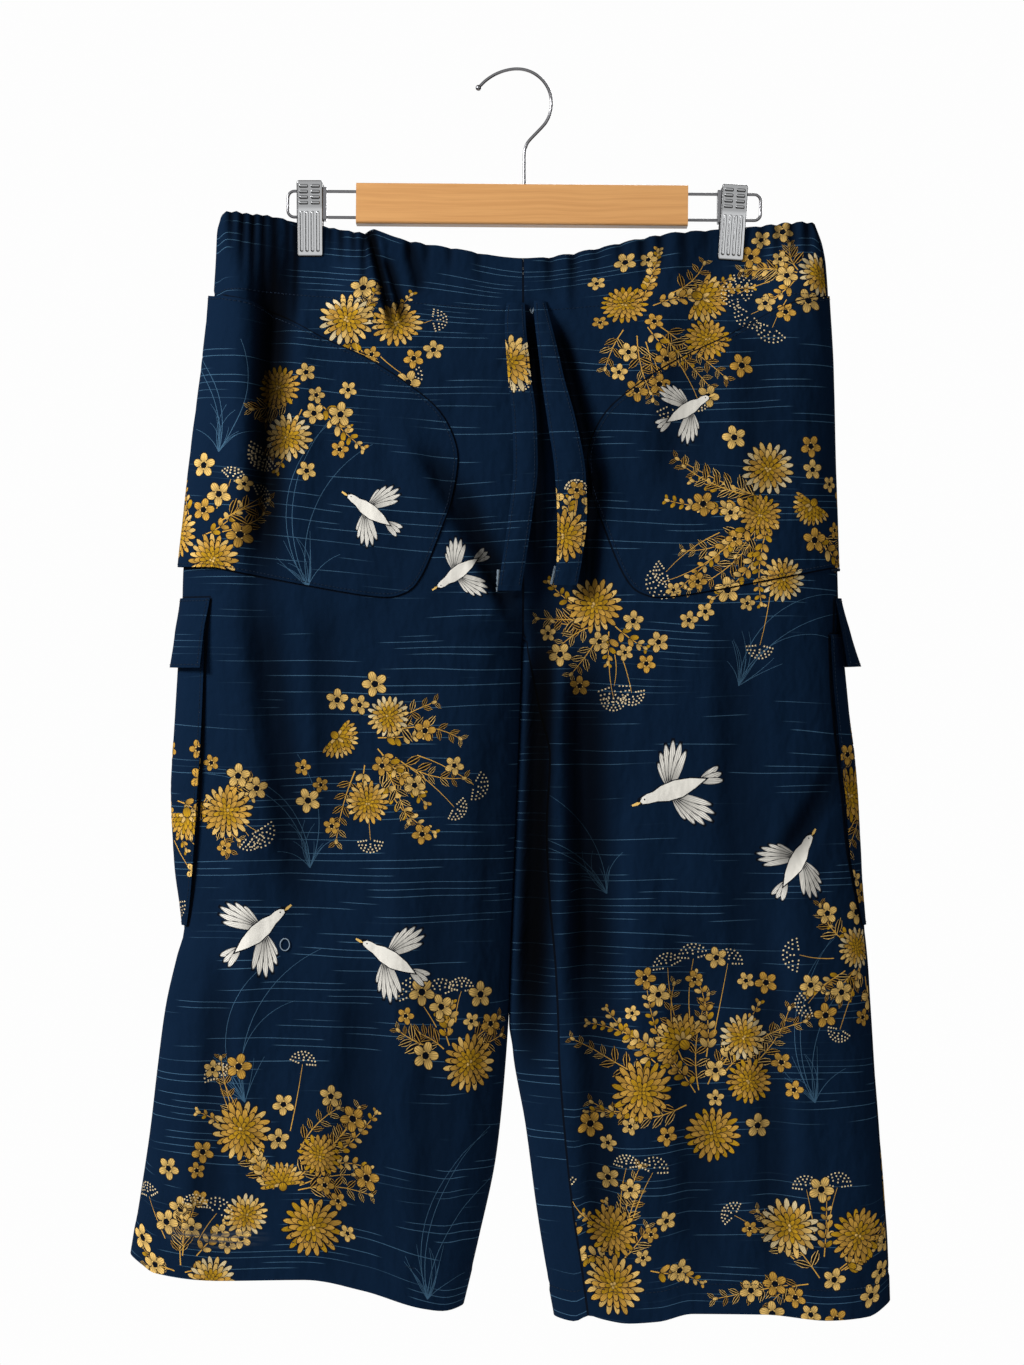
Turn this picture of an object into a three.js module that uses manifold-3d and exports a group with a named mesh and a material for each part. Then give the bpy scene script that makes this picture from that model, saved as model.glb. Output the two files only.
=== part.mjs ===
// Cropped wide-leg cargo trousers, hung flat by the waist from a wooden hanger with two metal clips.
// Millimetres, +Z up. The front of the garment faces -Y, and the wearer's right side is at -X.
// The origin is the inner top of the hook, where the hanger rests on its peg.
import * as THREE from 'three';
import { mergeVertices } from 'three/addons/utils/BufferGeometryUtils.js';
import Module from 'manifold-3d';

const wasm = await Module();
wasm.setup();

// Cloth sizes
const WALL = 2.0;
const GAP = 0.3;
const CENTRE = 4.7;
const WAIST = -118;
const TORSO_END = -330;
const CROTCH = -448;
const HEM = { right: -938, left: -966 };
const WAIST_FADE = 110;
const HEM_FADE = 260;
const ARC_STEPS = 14;
const MIDDLE_STEPS = 40;
const PROBE = 1.5;

// Hanger sizes
const WIRE = 2.5;
const BALL_RADIUS = 2.3;
const HOOK = { radius: 26.9, from: 158, to: -42, turns: 16, flare: 5.5, flareTurns: 5, steps: 42 };
const STEM = [
  { x: 9.6, z: -54.6 },
  { x: 6.9, z: -59.4 },
  { x: 5.9, z: -63.5 },
  { x: 5.7, z: -70 },
  { x: 5.7, z: -80 },
  { x: 5.7, z: -89 },
  { x: 5.7, z: -100 },
];
const STEM_SOCKET = { x: 5.7, z: -86, length: 30 };
const BAR = { length: 258, height: 31.6, depth: 16, x: 3.9, z: -105.6, round: 2.2 };
const HANGER_TILT = 0.0075;
const LOOP = { wire: 2.4, halfHeight: 10.1, corner: 5, cornerSteps: 4, straightSteps: 5, steps: 32 };
const LOOP_ENDS = { right: -178.6, left: 190 };
const SOCKET_DEPTH = 12;

// The two folded edges of the flattened garment at each level, seen from the front.
// inner is the fold between the legs, and inseam is where the inner leg seam runs on the front.
const FOLDS = {
  right: [
    { level: -118, outer: -230.5 },
    { level: -128, outer: -233.5 },
    { level: -150, outer: -234.5 },
    { level: -180, outer: -236.5 },
    { level: -225, outer: -241 },
    { level: -300, outer: -250.5 },
    { level: -350, outer: -256 },
    { level: -395, outer: -260.5 },
    { level: -448, outer: -261.5, inner: 3.2, inseam: 3.2 },
    { level: -500, outer: -263, inner: 0, inseam: 0 },
    { level: -560, outer: -265, inner: -5, inseam: -5 },
    { level: -620, outer: -263, inner: -7.5, inseam: -7.5 },
    { level: -669, outer: -259.5, inner: -9, inseam: -9 },
    { level: -690, outer: -265, inner: -9.4, inseam: -9.4 },
    { level: -730, outer: -274, inner: -9.4, inseam: -9.4 },
    { level: -780, outer: -280.5, inner: -10, inseam: -10 },
    { level: -830, outer: -286, inner: -16, inseam: -16 },
    { level: -890, outer: -294, inner: -30, inseam: -30 },
    { level: -938, outer: -301, inner: -42, inseam: -42 },
  ],
  left: [
    { level: -118, outer: 232 },
    { level: -128, outer: 237 },
    { level: -148, outer: 240.5 },
    { level: -190, outer: 243 },
    { level: -237, outer: 245.5 },
    { level: -307, outer: 247 },
    { level: -350, outer: 248.5 },
    { level: -395, outer: 250 },
    { level: -448, outer: 251.5, inner: 6.3, inseam: 7.5 },
    { level: -500, outer: 255, inner: 5.4, inseam: 18 },
    { level: -535, outer: 259, inner: 4.8, inseam: 25.5 },
    { level: -590, outer: 263.5, inner: 4.1, inseam: 23 },
    { level: -640, outer: 268, inner: 3.6, inseam: 25 },
    { level: -700, outer: 274, inner: 2.4, inseam: 30 },
    { level: -765, outer: 278, inner: -1.8, inseam: 32.5 },
    { level: -820, outer: 282, inner: 6.5, inseam: 36.5 },
    { level: -880, outer: 286.5, inner: 14.6, inseam: 43 },
    { level: -920, outer: 289, inner: 21, inseam: 49 },
    { level: -966, outer: 290.5, inner: 29, inseam: 55 },
  ],
};

// How far the front and back stand from the middle plane, and how soon the sides round over
const DEPTHS = [
  { level: -118, front: 7, back: 6, round: 10 },
  { level: -150, front: 11, back: 8.5, round: 18 },
  { level: -190, front: 18, back: 12, round: 34 },
  { level: -240, front: 24, back: 15, round: 52 },
  { level: -320, front: 28, back: 18, round: 64 },
  { level: -448, front: 28, back: 18, round: 70 },
  { level: -620, front: 26, back: 18, round: 70 },
  { level: -800, front: 25, back: 17, round: 64 },
  { level: -966, front: 23, back: 15, round: 54 },
];

// The waist edge, which dips between the clips
const WAIST_EDGE = [
  { x: -232, z: -116 },
  { x: -224.5, z: -110.4 },
  { x: -207, z: -112 },
  { x: -192, z: -113.5 },
  { x: -176, z: -117.4 },
  { x: -149, z: -122 },
  { x: -118, z: -127 },
  { x: -112.6, z: -124.6 },
  { x: -106, z: -127 },
  { x: -91, z: -132.2 },
  { x: -44, z: -140.7 },
  { x: -9, z: -146.8 },
  { x: 4.7, z: -147.7 },
  { x: 18, z: -147 },
  { x: 57, z: -140.7 },
  { x: 103, z: -130.6 },
  { x: 127, z: -126.8 },
  { x: 177, z: -122.9 },
  { x: 208, z: -119.8 },
  { x: 228, z: -118.8 },
  { x: 236, z: -124 },
];

const HEM_EDGE = {
  right: [
    { x: -301, z: -922 },
    { x: -291, z: -927.5 },
    { x: -280, z: -933.5 },
    { x: -230, z: -938.4 },
    { x: -164, z: -937.7 },
    { x: -119, z: -946 },
    { x: -72, z: -960.7 },
    { x: -55, z: -963.5 },
    { x: -42, z: -961.5 },
  ],
  left: [
    { x: 29, z: -970 },
    { x: 44, z: -971.4 },
    { x: 56, z: -966 },
    { x: 66, z: -968.4 },
    { x: 86, z: -971.4 },
    { x: 109, z: -970 },
    { x: 135, z: -964 },
    { x: 191, z: -964.5 },
    { x: 240, z: -969.2 },
    { x: 271, z: -967.6 },
    { x: 290, z: -958.5 },
  ],
};

// Where the clips press the front and back together
const PINCHES = [
  { x: -161.2, z: -133, halfWidth: 13, halfHeight: 17 },
  { x: 167.5, z: -136, halfWidth: 13, halfHeight: 17 },
];
const PINCH_FADE = { x: 34, z: 60 };
const PINCHED_HALF = 2.15;

// Long folds from one end to the other. A minus depth is a trough and a plus depth a ridge.
const CREASE_ENDS = { before: 0.12, rise: 0.3, fall: 0.4 };
const CREASES = {
  front: [
    { x0: -196, z0: -128, x1: -190, z1: -400, width: 9, depth: -9 },
    { x0: -212, z0: -150, x1: -206, z1: -330, width: 9, depth: 3 },
    { x0: -110, z0: -128, x1: -95, z1: -196, width: 4.5, depth: -4 },
    { x0: -98, z0: -140, x1: -84, z1: -190, width: 4.5, depth: -3 },
    { x0: -104, z0: -135, x1: -90, z1: -190, width: 4.5, depth: 2 },
    { x0: -62, z0: -330, x1: -28, z1: -452, width: 13, depth: -3.5 },
    { x0: -88, z0: -250, x1: -60, z1: -400, width: 12, depth: 2 },
    { x0: -18, z0: -500, x1: -26, z1: -900, width: 12, depth: -3 },
    { x0: -178, z0: -440, x1: -164, z1: -760, width: 8, depth: -5 },
    { x0: -205, z0: -560, x1: -214, z1: -860, width: 14, depth: 2.5 },
    { x0: -120, z0: -700, x1: -138, z1: -930, width: 16, depth: -2.5 },
    { x0: 58, z0: -470, x1: 66, z1: -860, width: 11, depth: -8 },
    { x0: 92, z0: -560, x1: 96, z1: -930, width: 16, depth: 3 },
    { x0: 40, z0: -300, x1: 52, z1: -470, width: 12, depth: -4 },
    { x0: 250, z0: -540, x1: 205, z1: -612, width: 7, depth: -4 },
    { x0: 130, z0: -190, x1: 112, z1: -330, width: 12, depth: -2.5 },
    { x0: 160, z0: -420, x1: 172, z1: -720, width: 14, depth: -2.5 },
    { x0: 214, z0: -640, x1: 222, z1: -930, width: 14, depth: 2.5 },
  ],
  back: [
    { x0: -188, z0: -130, x1: -182, z1: -360, width: 10, depth: -5 },
    { x0: -96, z0: -150, x1: -62, z1: -420, width: 13, depth: -3.5 },
    { x0: -150, z0: -430, x1: -166, z1: -840, width: 13, depth: -4 },
    { x0: -60, z0: -520, x1: -84, z1: -900, width: 14, depth: 3 },
    { x0: 108, z0: -150, x1: 70, z1: -420, width: 13, depth: -3.5 },
    { x0: 190, z0: -130, x1: 186, z1: -350, width: 10, depth: -4 },
    { x0: 150, z0: -440, x1: 168, z1: -860, width: 13, depth: -4 },
    { x0: 62, z0: -540, x1: 86, z1: -930, width: 14, depth: 3 },
  ],
};

// Gathers that the elastic draws down from the waist edge. The back ones are even, with uneven lengths.
const BACK_GATHERS = {
  count: 26, first: -219, pitch: 17.6, sway: 3, drop: 48, dropSway: 20, width: 4, depth: 1.3, depthSway: 0.4,
};
const GATHERS = {
  front: [
    { x: -222, drop: 40, width: 3.6, depth: 2.2 },
    { x: -211, drop: 62, width: 3.6, depth: 2.6 },
    { x: -202, drop: 80, width: 3.4, depth: 2.4 },
    { x: -186, drop: 95, width: 3.6, depth: 2.8 },
    { x: -174, drop: 78, width: 3.2, depth: 2.0 },
    { x: -137, drop: 30, width: 3.6, depth: 1.5 },
    { x: -124, drop: 42, width: 3.6, depth: 1.6 },
    { x: -70, drop: 30, width: 4.5, depth: 1.2 },
    { x: 26, drop: 45, width: 4.2, depth: 1.6 },
    { x: 44, drop: 60, width: 4.0, depth: 2.0 },
    { x: 62, drop: 34, width: 4.5, depth: 1.3 },
    { x: 98, drop: 48, width: 4.0, depth: 1.7 },
    { x: 112, drop: 36, width: 3.6, depth: 1.5 },
    { x: 130, drop: 55, width: 3.8, depth: 1.8 },
    { x: 146, drop: 32, width: 3.4, depth: 1.3 },
    { x: 190, drop: 36, width: 3.4, depth: 1.7 },
    { x: 202, drop: 48, width: 3.4, depth: 1.9 },
    { x: 214, drop: 40, width: 3.4, depth: 1.9 },
    { x: 226, drop: 52, width: 3.4, depth: 2.0 },
  ],
  back: backGathers(),
};

// Levels of the cloth grid from waist to hem, denser where the form turns and where patches begin or end
const LEVELS = [-118, -130, -146, -170, -205, -250, -310, -386, -412, -428, -440, -448, -466, -510, -560,
  -610, -666, -720, -790, -870];
const PANEL_COLUMNS = 24;
const COLUMN_CROWDING = 1.3;

// Where each side seam runs, measured on the front from the outer fold
const SIDE_SEAM = { right: 0, left: 6 };

// Front outline of the right hip pocket. The left one mirrors it.
const HIP_EDGE = [
  { x: -199, z: -186 },
  { x: -152, z: -211 },
  { x: -116, z: -228 },
  { x: -86, z: -247 },
  { x: -60, z: -269 },
  { x: -47, z: -296 },
  { x: -47.5, z: -322 },
  { x: -56, z: -352 },
  { x: -73, z: -394 },
  { x: -88, z: -409 },
  { x: -114, z: -410.5 },
  { x: -185, z: -398 },
  { x: -232, z: -388.5 },
];
const HIP = {
  top: -176, corner: -240, bottom: -386, lowest: -412, backWidth: 62, columns: 22, backColumns: 10,
};

// How far the side of the hip pocket stands off the panel, by distance round from the outer fold
const HIP_SLACK = {
  right: [
    { s: -60, lift: 0 },
    { s: -14, lift: 3.2 },
    { s: 14, lift: 3.4 },
    { s: 34, lift: 2.4 },
    { s: 62, lift: 0.2 },
    { s: 90, lift: 0 },
  ],
  left: [
    { s: -40, lift: 0 },
    { s: 0, lift: 0.5 },
    { s: 40, lift: 0 },
  ],
};

// The front edge of each cargo pocket, seen from the front, and how far the pocket stands off there
const CARGO_EDGE = {
  right: [
    { z: -430, x: -240.5, lift: 0.4 },
    { z: -470, x: -241, lift: 1.4 },
    { z: -520, x: -242.5, lift: 2.8 },
    { z: -565, x: -245, lift: 3.7 },
    { z: -610, x: -248, lift: 3.2 },
    { z: -645, x: -251.5, lift: 1.8 },
    { z: -680, x: -257.5, lift: 0.2 },
  ],
  left: [
    { z: -430, x: 241.5, lift: 0.4 },
    { z: -470, x: 242.5, lift: 2.0 },
    { z: -515, x: 246, lift: 3.0 },
    { z: -560, x: 251, lift: 3.2 },
    { z: -605, x: 255.5, lift: 2.0 },
    { z: -640, x: 262, lift: 0.8 },
    { z: -680, x: 271, lift: 0.2 },
  ],
};
const CARGO = { top: -440, bottom: -666, lowest: -666, backWidth: 104, columns: 10, backColumns: 15 };

// The flap covers the mouth of the pocket. lift is how far it stands away from the pocket.
const FLAP_EDGE = {
  right: [
    { z: -405, x: -235.2, lift: 0 },
    { z: -440, x: -239.5, lift: 1.4 },
    { z: -475, x: -241, lift: 5.2 },
  ],
  left: [
    { z: -405, x: 246, lift: 0 },
    { z: -440, x: 245.5, lift: 5 },
    { z: -475, x: 245, lift: 12.5 },
  ],
};
const FLAP = { top: -412, bottom: -466, lowest: -466, backWidth: 108, columns: 10, backColumns: 15 };

// The stand-off of the pockets and flaps fades to nothing on the back, by distance from the outer fold
const SLACK_FADE = { from: -90, over: 70 };

// Cutting blocks for the patches: how far they reach past the side, their depth and their shared layer
const CUT = { far: 340, deep: 80, shared: 0.5, edgeSteps: 8 };

// The middle line of each tie, with how far it stands off the front
const TIES = {
  right: [
    { level: -166, x: -1, stand: 0.2, width: 14 },
    { level: -190, x: -1.5, stand: 4, width: 16 },
    { level: -240, x: 1.5, stand: 9, width: 17.5 },
    { level: -275, x: 5.5, stand: 11, width: 18.5 },
    { level: -312, x: 6.5, stand: 12, width: 18.5 },
    { level: -350, x: 2.5, stand: 11, width: 18 },
    { level: -385, x: -2.5, stand: 9, width: 18 },
    { level: -407, x: -6, stand: 8, width: 18 },
  ],
  left: [
    { level: -164, x: 17.5, stand: 0.2, width: 9 },
    { level: -190, x: 19.5, stand: 4, width: 12 },
    { level: -240, x: 26.5, stand: 10, width: 17 },
    { level: -280, x: 34.5, stand: 13, width: 22 },
    { level: -318, x: 40.5, stand: 14, width: 23.5 },
    { level: -352, x: 42, stand: 13, width: 22.5 },
    { level: -382, x: 40, stand: 11, width: 19.5 },
    { level: -403, x: 37, stand: 10, width: 18 },
  ],
};
const TIE_WALL = 1.6;
const TIE_CROWN = 1.2;
const TIE_ROWS = 22;

const CLIPS = {
  right: { x: -161.2, top: -86.8, lean: 0, slider: -158.2 },
  left: { x: 169.9, top: -89.9, lean: 0.064, slider: 166.2 },
};
const PLATE = { width: 20.4, height: 59, thick: 1.3, round: 2.2, tilt: 0.07, sunk: 0.1 };
const GRIP = { rows: 4, width: 6.6, height: 2.3, deep: 0.8, x: 4.6, top: -4.6, pitch: 4.3 };
const RIBS = { count: 4, width: 2.2, height: 31, deep: 0.7, z: -39.5, pitch: 4.2 };
const JAW_CLEAR = 2.7;
const SLIDER = {
  length: 20, height: 26, depth: 8.6, round: 1.6, slot: 3.2, slotHeight: 23.2, slotRound: 0.8,
};

const CLOTH = cloth(0x141f33);
const CLOTH_TRIM = cloth(0x1b2940);
const WOOD = new THREE.MeshStandardMaterial({ color: 0xd9a066, roughness: 0.5, metalness: 0 });
const STEEL = new THREE.MeshStandardMaterial({ color: 0xb9bcc0, roughness: 0.28, metalness: 1 });

function cloth(color) {
  return new THREE.MeshStandardMaterial({ color, roughness: 0.9, metalness: 0 });
}

function backGathers() {
  const { count, first, pitch, sway, drop, dropSway, width, depth, depthSway } = BACK_GATHERS;
  const gathers = [];
  for (let k = 0; k < count; k += 1) {
    gathers.push({
      x: first + pitch * k + sway * Math.sin(2.1 * k),
      drop: drop + dropSway * Math.sin(1.3 * k + 1),
      width,
      depth: depth + depthSway * Math.sin(2.9 * k),
    });
  }
  return gathers;
}

function clamp01(value) {
  return Math.min(1, Math.max(0, value));
}

function smooth(value) {
  const t = clamp01(value);
  return t * t * (3 - 2 * t);
}

// Value of a column of a table at a place along its key, on a smooth curve that never overshoots its rows
function along(rows, key, column, at) {
  const used = rows.filter((row) => row[column] !== undefined);
  const sign = Math.sign(used[used.length - 1][key] - used[0][key]);
  const place = at * sign;
  let i = 0;
  while (i < used.length - 2 && place > used[i + 1][key] * sign) i += 1;
  const slope = (k) => (used[k + 1][column] - used[k][column]) / (used[k + 1][key] - used[k][key]);
  const tangent = (k) => {
    if (k === 0 || k === used.length - 1) return slope(Math.min(k, used.length - 2));
    const before = slope(k - 1);
    const after = slope(k);
    return before * after <= 0 ? 0 : (2 * before * after) / (before + after);
  };
  const span = used[i + 1][key] - used[i][key];
  const t = clamp01((at - used[i][key]) / span);
  const h = [2 * t ** 3 - 3 * t ** 2 + 1, t ** 3 - 2 * t ** 2 + t, 3 * t ** 2 - 2 * t ** 3, t ** 3 - t ** 2];
  return h[0] * used[i][column] + h[1] * span * tangent(i) + h[2] * used[i + 1][column]
    + h[3] * span * tangent(i + 1);
}

// Above the crotch both sides share one flattened tube, so the far fold is the mirrored outer one
function innerFold(side, level) {
  const outer = along(FOLDS[side], 'level', 'outer', level);
  const mirrored = 2 * CENTRE - outer;
  if (level >= TORSO_END) return mirrored;
  const inner = along(FOLDS[side], 'level', 'inner', Math.min(level, CROTCH));
  return THREE.MathUtils.lerp(mirrored, inner, smooth((level - TORSO_END) / (CROTCH - TORSO_END)));
}

const rings = new Map();

// One flattened section: points on the front from the outer to the inner fold, with their distances
function ring(side, level) {
  const key = `${side} ${level.toFixed(3)}`;
  if (!rings.has(key)) rings.set(key, makeRing(side, level));
  return rings.get(key);
}

function makeRing(side, level) {
  const outer = along(FOLDS[side], 'level', 'outer', level);
  const inner = innerFold(side, level);
  const round = along(DEPTHS, 'level', 'round', level);
  const span = Math.abs(inner - outer);
  const way = Math.sign(inner - outer);
  const ends = [];
  for (let k = 0; k <= ARC_STEPS; k += 1) ends.push(round * (1 - Math.cos((k / ARC_STEPS) * (Math.PI / 2))));
  const middle = [];
  for (let k = 1; k < MIDDLE_STEPS; k += 1) middle.push(round + ((span - 2 * round) * k) / MIDDLE_STEPS);
  const distances = [...ends, ...middle, ...ends.map((d) => span - d).reverse()];
  const full = (d) => Math.sqrt(Math.max(0, 1 - (1 - clamp01(d / round)) ** 2));
  const points = distances.map((d) => ({ x: outer + way * d, bulge: full(d) * full(span - d), s: 0 }));
  const front = along(DEPTHS, 'level', 'front', level);
  for (let k = 1; k < points.length; k += 1) {
    const rise = (points[k].bulge - points[k - 1].bulge) * front;
    points[k].s = points[k - 1].s + Math.hypot(points[k].x - points[k - 1].x, rise);
  }
  return { points, half: points[points.length - 1].s, level };
}

// Where the section's front crosses a given x, as a distance from the outer fold
function crossing(side, level, x) {
  const { points } = ring(side, level);
  const way = Math.sign(points[points.length - 1].x - points[0].x);
  let k = 0;
  while (k < points.length - 2 && (points[k + 1].x - x) * way < 0) k += 1;
  const t = clamp01((x - points[k].x) / (points[k + 1].x - points[k].x));
  return THREE.MathUtils.lerp(points[k].s, points[k + 1].s, t);
}

// Outward push of creases and gathers at a place on the front or back
function relief(face, x, z) {
  let push = 0;
  for (const crease of CREASES[face]) {
    const dx = crease.x1 - crease.x0;
    const dz = crease.z1 - crease.z0;
    const t = ((x - crease.x0) * dx + (z - crease.z0) * dz) / (dx * dx + dz * dz);
    const ends = smooth((t + CREASE_ENDS.before) / CREASE_ENDS.rise)
      * smooth((1 + CREASE_ENDS.before - t) / CREASE_ENDS.fall);
    const away = ((x - crease.x0) * dz - (z - crease.z0) * dx) / Math.hypot(dx, dz);
    push += crease.depth * ends * Math.exp(-((away / crease.width) ** 2));
  }
  const edge = along(WAIST_EDGE, 'x', 'z', x);
  for (const gather of GATHERS[face]) {
    const fade = smooth((z - edge + gather.drop) / gather.drop);
    push -= gather.depth * fade * Math.exp(-(((x - gather.x) / gather.width) ** 2));
  }
  return push;
}

function pinch(x, z) {
  let held = 0;
  for (const spot of PINCHES) {
    const beside = smooth(1 - (Math.abs(x - spot.x) - spot.halfWidth) / PINCH_FADE.x);
    const below = smooth(1 - (Math.abs(z - spot.z) - spot.halfHeight) / PINCH_FADE.z);
    held = Math.max(held, beside * below);
  }
  return held;
}

// A place on the outside of the cloth, at a distance round the section from its outer fold
function place(side, s, level) {
  const { points, half } = ring(side, level);
  let face = s >= 0 ? 'front' : 'back';
  let way = Math.abs(s);
  if (way > half) {
    way = 2 * half - way;
    face = face === 'front' ? 'back' : 'front';
  }
  let low = 0;
  let high = points.length - 1;
  while (high - low > 1) {
    const mid = (low + high) >> 1;
    if (points[mid].s > way) high = mid;
    else low = mid;
  }
  const t = (way - points[low].s) / (points[high].s - points[low].s);
  const x = THREE.MathUtils.lerp(points[low].x, points[high].x, t);
  const bulge = THREE.MathUtils.lerp(points[low].bulge, points[high].bulge, t);
  const towardWaist = smooth(1 - (WAIST - level) / WAIST_FADE);
  const towardHem = smooth(1 - (level - HEM[side]) / HEM_FADE);
  const z = level + (along(WAIST_EDGE, 'x', 'z', x) - WAIST) * towardWaist
    + (along(HEM_EDGE[side], 'x', 'z', x) - HEM[side]) * towardHem;
  const held = pinch(x, z);
  const loose = bulge * along(DEPTHS, 'level', face, level) + relief(face, x, z) * bulge ** 2 * (1 - held);
  const depth = THREE.MathUtils.lerp(loose, PINCHED_HALF * bulge, held);
  return new THREE.Vector3(x, face === 'front' ? -depth : depth, z);
}

// Outward direction of the cloth there, from its neighbours
function outward(side, s, level) {
  const across = place(side, s + PROBE, level).sub(place(side, s - PROBE, level));
  const up = place(side, s, level + PROBE).sub(place(side, s, level - PROBE));
  const normal = across.cross(up).normalize();
  return side === 'right' ? normal : normal.negate();
}

// A closed wall from a grid of outside points, with the inside moved in along the outward directions.
// Columns before the turned one split their squares the other way, as the panel under them does.
function wall(columns, rows, thick, cell, turned = 0) {
  const outside = [];
  const inside = [];
  for (let j = 0; j <= rows; j += 1) {
    for (let i = 0; i <= columns; i += 1) {
      const { point, normal } = cell(i, j);
      outside.push(point);
      inside.push(point.clone().addScaledVector(normal, -thick));
    }
  }
  const positions = [...outside, ...inside].flatMap((p) => [p.x, p.y, p.z]);
  const shift = outside.length;
  const at = (i, j) => j * (columns + 1) + i;
  const faces = [];
  const quad = (a, b, c, d) => faces.push(a, b, c, a, c, d);
  for (let j = 0; j < rows; j += 1) {
    for (let i = 0; i < columns; i += 1) {
      const corners = [at(i, j), at(i, j + 1), at(i + 1, j + 1), at(i + 1, j)];
      if (i < turned) corners.push(corners.shift());
      const [a, b, c, d] = corners;
      quad(a, b, c, d);
      quad(shift + a, shift + d, shift + c, shift + b);
    }
  }
  const rim = (a, b) => quad(a, b, shift + b, shift + a);
  for (let i = 0; i < columns; i += 1) {
    rim(at(i, 0), at(i + 1, 0));
    rim(at(i + 1, rows), at(i, rows));
  }
  for (let j = 0; j < rows; j += 1) {
    rim(at(0, j + 1), at(0, j));
    rim(at(columns, j), at(columns, j + 1));
  }
  return closed(positions, faces);
}

// Turns the faces outward if the grid ran the other way round
function closed(positions, faces) {
  let volume = 0;
  const corner = (k) => new THREE.Vector3().fromArray(positions, 3 * faces[k]);
  for (let k = 0; k < faces.length; k += 3) volume += corner(k).dot(corner(k + 1).cross(corner(k + 2)));
  if (volume < 0) faces.reverse();
  const geometry = new THREE.BufferGeometry();
  geometry.setAttribute('position', new THREE.Float32BufferAttribute(positions, 3));
  geometry.setIndex(faces);
  geometry.computeVertexNormals();
  return geometry;
}

// Distances round the section of the seams that bound a panel
function seams(side, face, level) {
  const { half } = ring(side, level);
  const x = level > CROTCH ? CENTRE : along(FOLDS[side], 'level', 'inseam', level);
  const frontEnd = crossing(side, level, x);
  if (face === 'front') return { from: SIDE_SEAM[side] + GAP / 2, to: frontEnd - GAP / 2 };
  const backEnd = level > CROTCH ? -frontEnd : frontEnd - 2 * half;
  return { from: SIDE_SEAM[side] - GAP / 2, to: backEnd + GAP / 2 };
}

// A corner of a panel's grid, by its column from the side seam, with the columns closer near that seam
function onPanel(side, face, column, level) {
  const { from, to } = seams(side, face, level);
  const s = THREE.MathUtils.lerp(from, to, (column / PANEL_COLUMNS) ** COLUMN_CROWDING);
  return { s, point: place(side, s, level), normal: outward(side, s, level) };
}

function panel(side, face) {
  const levels = [...LEVELS, HEM[side]];
  return wall(PANEL_COLUMNS, levels.length - 1, WALL, (i, j) => onPanel(side, face, i, levels[j]));
}

// A patch that wraps the side: the panels' own grid corners moved out by the gap, the slack and its wall
function wrap(side, size, lift) {
  const above = Math.min(...LEVELS.filter((level) => level >= size.top));
  const levels = LEVELS.filter((level) => level <= above && level >= size.lowest);
  return wall(size.backColumns + size.columns, levels.length - 1, WALL, (i, j) => {
    const column = i - size.backColumns;
    const face = column < 0 ? 'back' : 'front';
    const { s, point, normal } = onPanel(side, face, Math.abs(column), levels[j]);
    return { point: point.addScaledVector(normal, GAP + WALL + lift(s, levels[j])), normal };
  }, size.backColumns);
}

// A block that runs through the front or the back half of the garment, with the given outline.
// The two halves share a thin layer at the middle plane, so that they join.
function cutter(face, outline) {
  const block = new THREE.ExtrudeGeometry(outline, {
    depth: CUT.deep, bevelEnabled: false, curveSegments: 3,
  });
  block.rotateX(Math.PI / 2);
  return toSolid(moved(block, 0, face === 'front' ? CUT.shared : CUT.deep - CUT.shared, 0));
}

// Trims a wrapped patch to its outline on the front and to a plain edge on the back
function trimmed(side, geometry, size, frontOutline) {
  const way = side === 'right' ? -1 : 1;
  const far = way * CUT.far;
  const fold = along(FOLDS[side], 'level', 'outer', (size.top + size.bottom) / 2);
  const near = fold - way * size.backWidth;
  const back = new THREE.Shape([[far, size.top], [near, size.top], [near, size.bottom], [far, size.bottom]]
    .map(([x, z]) => new THREE.Vector2(x, z)));
  const keep = cutter('front', frontOutline).add(cutter('back', back));
  return toGeometry(toSolid(geometry).intersect(keep));
}

function hipPocket(side) {
  const way = side === 'right' ? 1 : -1;
  const atX = (x) => (side === 'right' ? x : 2 * CENTRE - x);
  const outline = new THREE.Shape();
  outline.moveTo(-way * CUT.far, HIP.top);
  outline.lineTo(atX(HIP.corner), HIP.top);
  outline.splineThru(HIP_EDGE.map(({ x, z }) => new THREE.Vector2(atX(x), z)));
  outline.lineTo(-way * CUT.far, HIP.bottom);
  const slack = HIP_SLACK[side];
  const shell = wrap(side, HIP, (s) => along(slack, 's', 'lift', s));
  return trimmed(side, shell, HIP, outline);
}

function cargoSlack(edge, s, level) {
  return along(edge, 'z', 'lift', level) * smooth((s - SLACK_FADE.from) / SLACK_FADE.over);
}

function flapSlack(side, s, level) {
  const overPocket = (WALL + GAP) * smooth((FLAP.top - level) / (FLAP.top - CARGO.top));
  return overPocket + cargoSlack(CARGO_EDGE[side], s, level) + cargoSlack(FLAP_EDGE[side], s, level);
}

// A patch whose front edge follows a table by height, as the cargo pockets and flaps do
function sidePatch(side, size, edge, slack) {
  const way = side === 'right' ? -1 : 1;
  const outline = new THREE.Shape();
  outline.moveTo(way * CUT.far, size.top);
  for (let k = 0; k <= CUT.edgeSteps; k += 1) {
    const z = THREE.MathUtils.lerp(size.top, size.bottom, k / CUT.edgeSteps);
    outline.lineTo(along(edge, 'z', 'x', z), z);
  }
  outline.lineTo(way * CUT.far, size.bottom);
  return trimmed(side, wrap(side, size, slack), size, outline);
}

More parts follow.
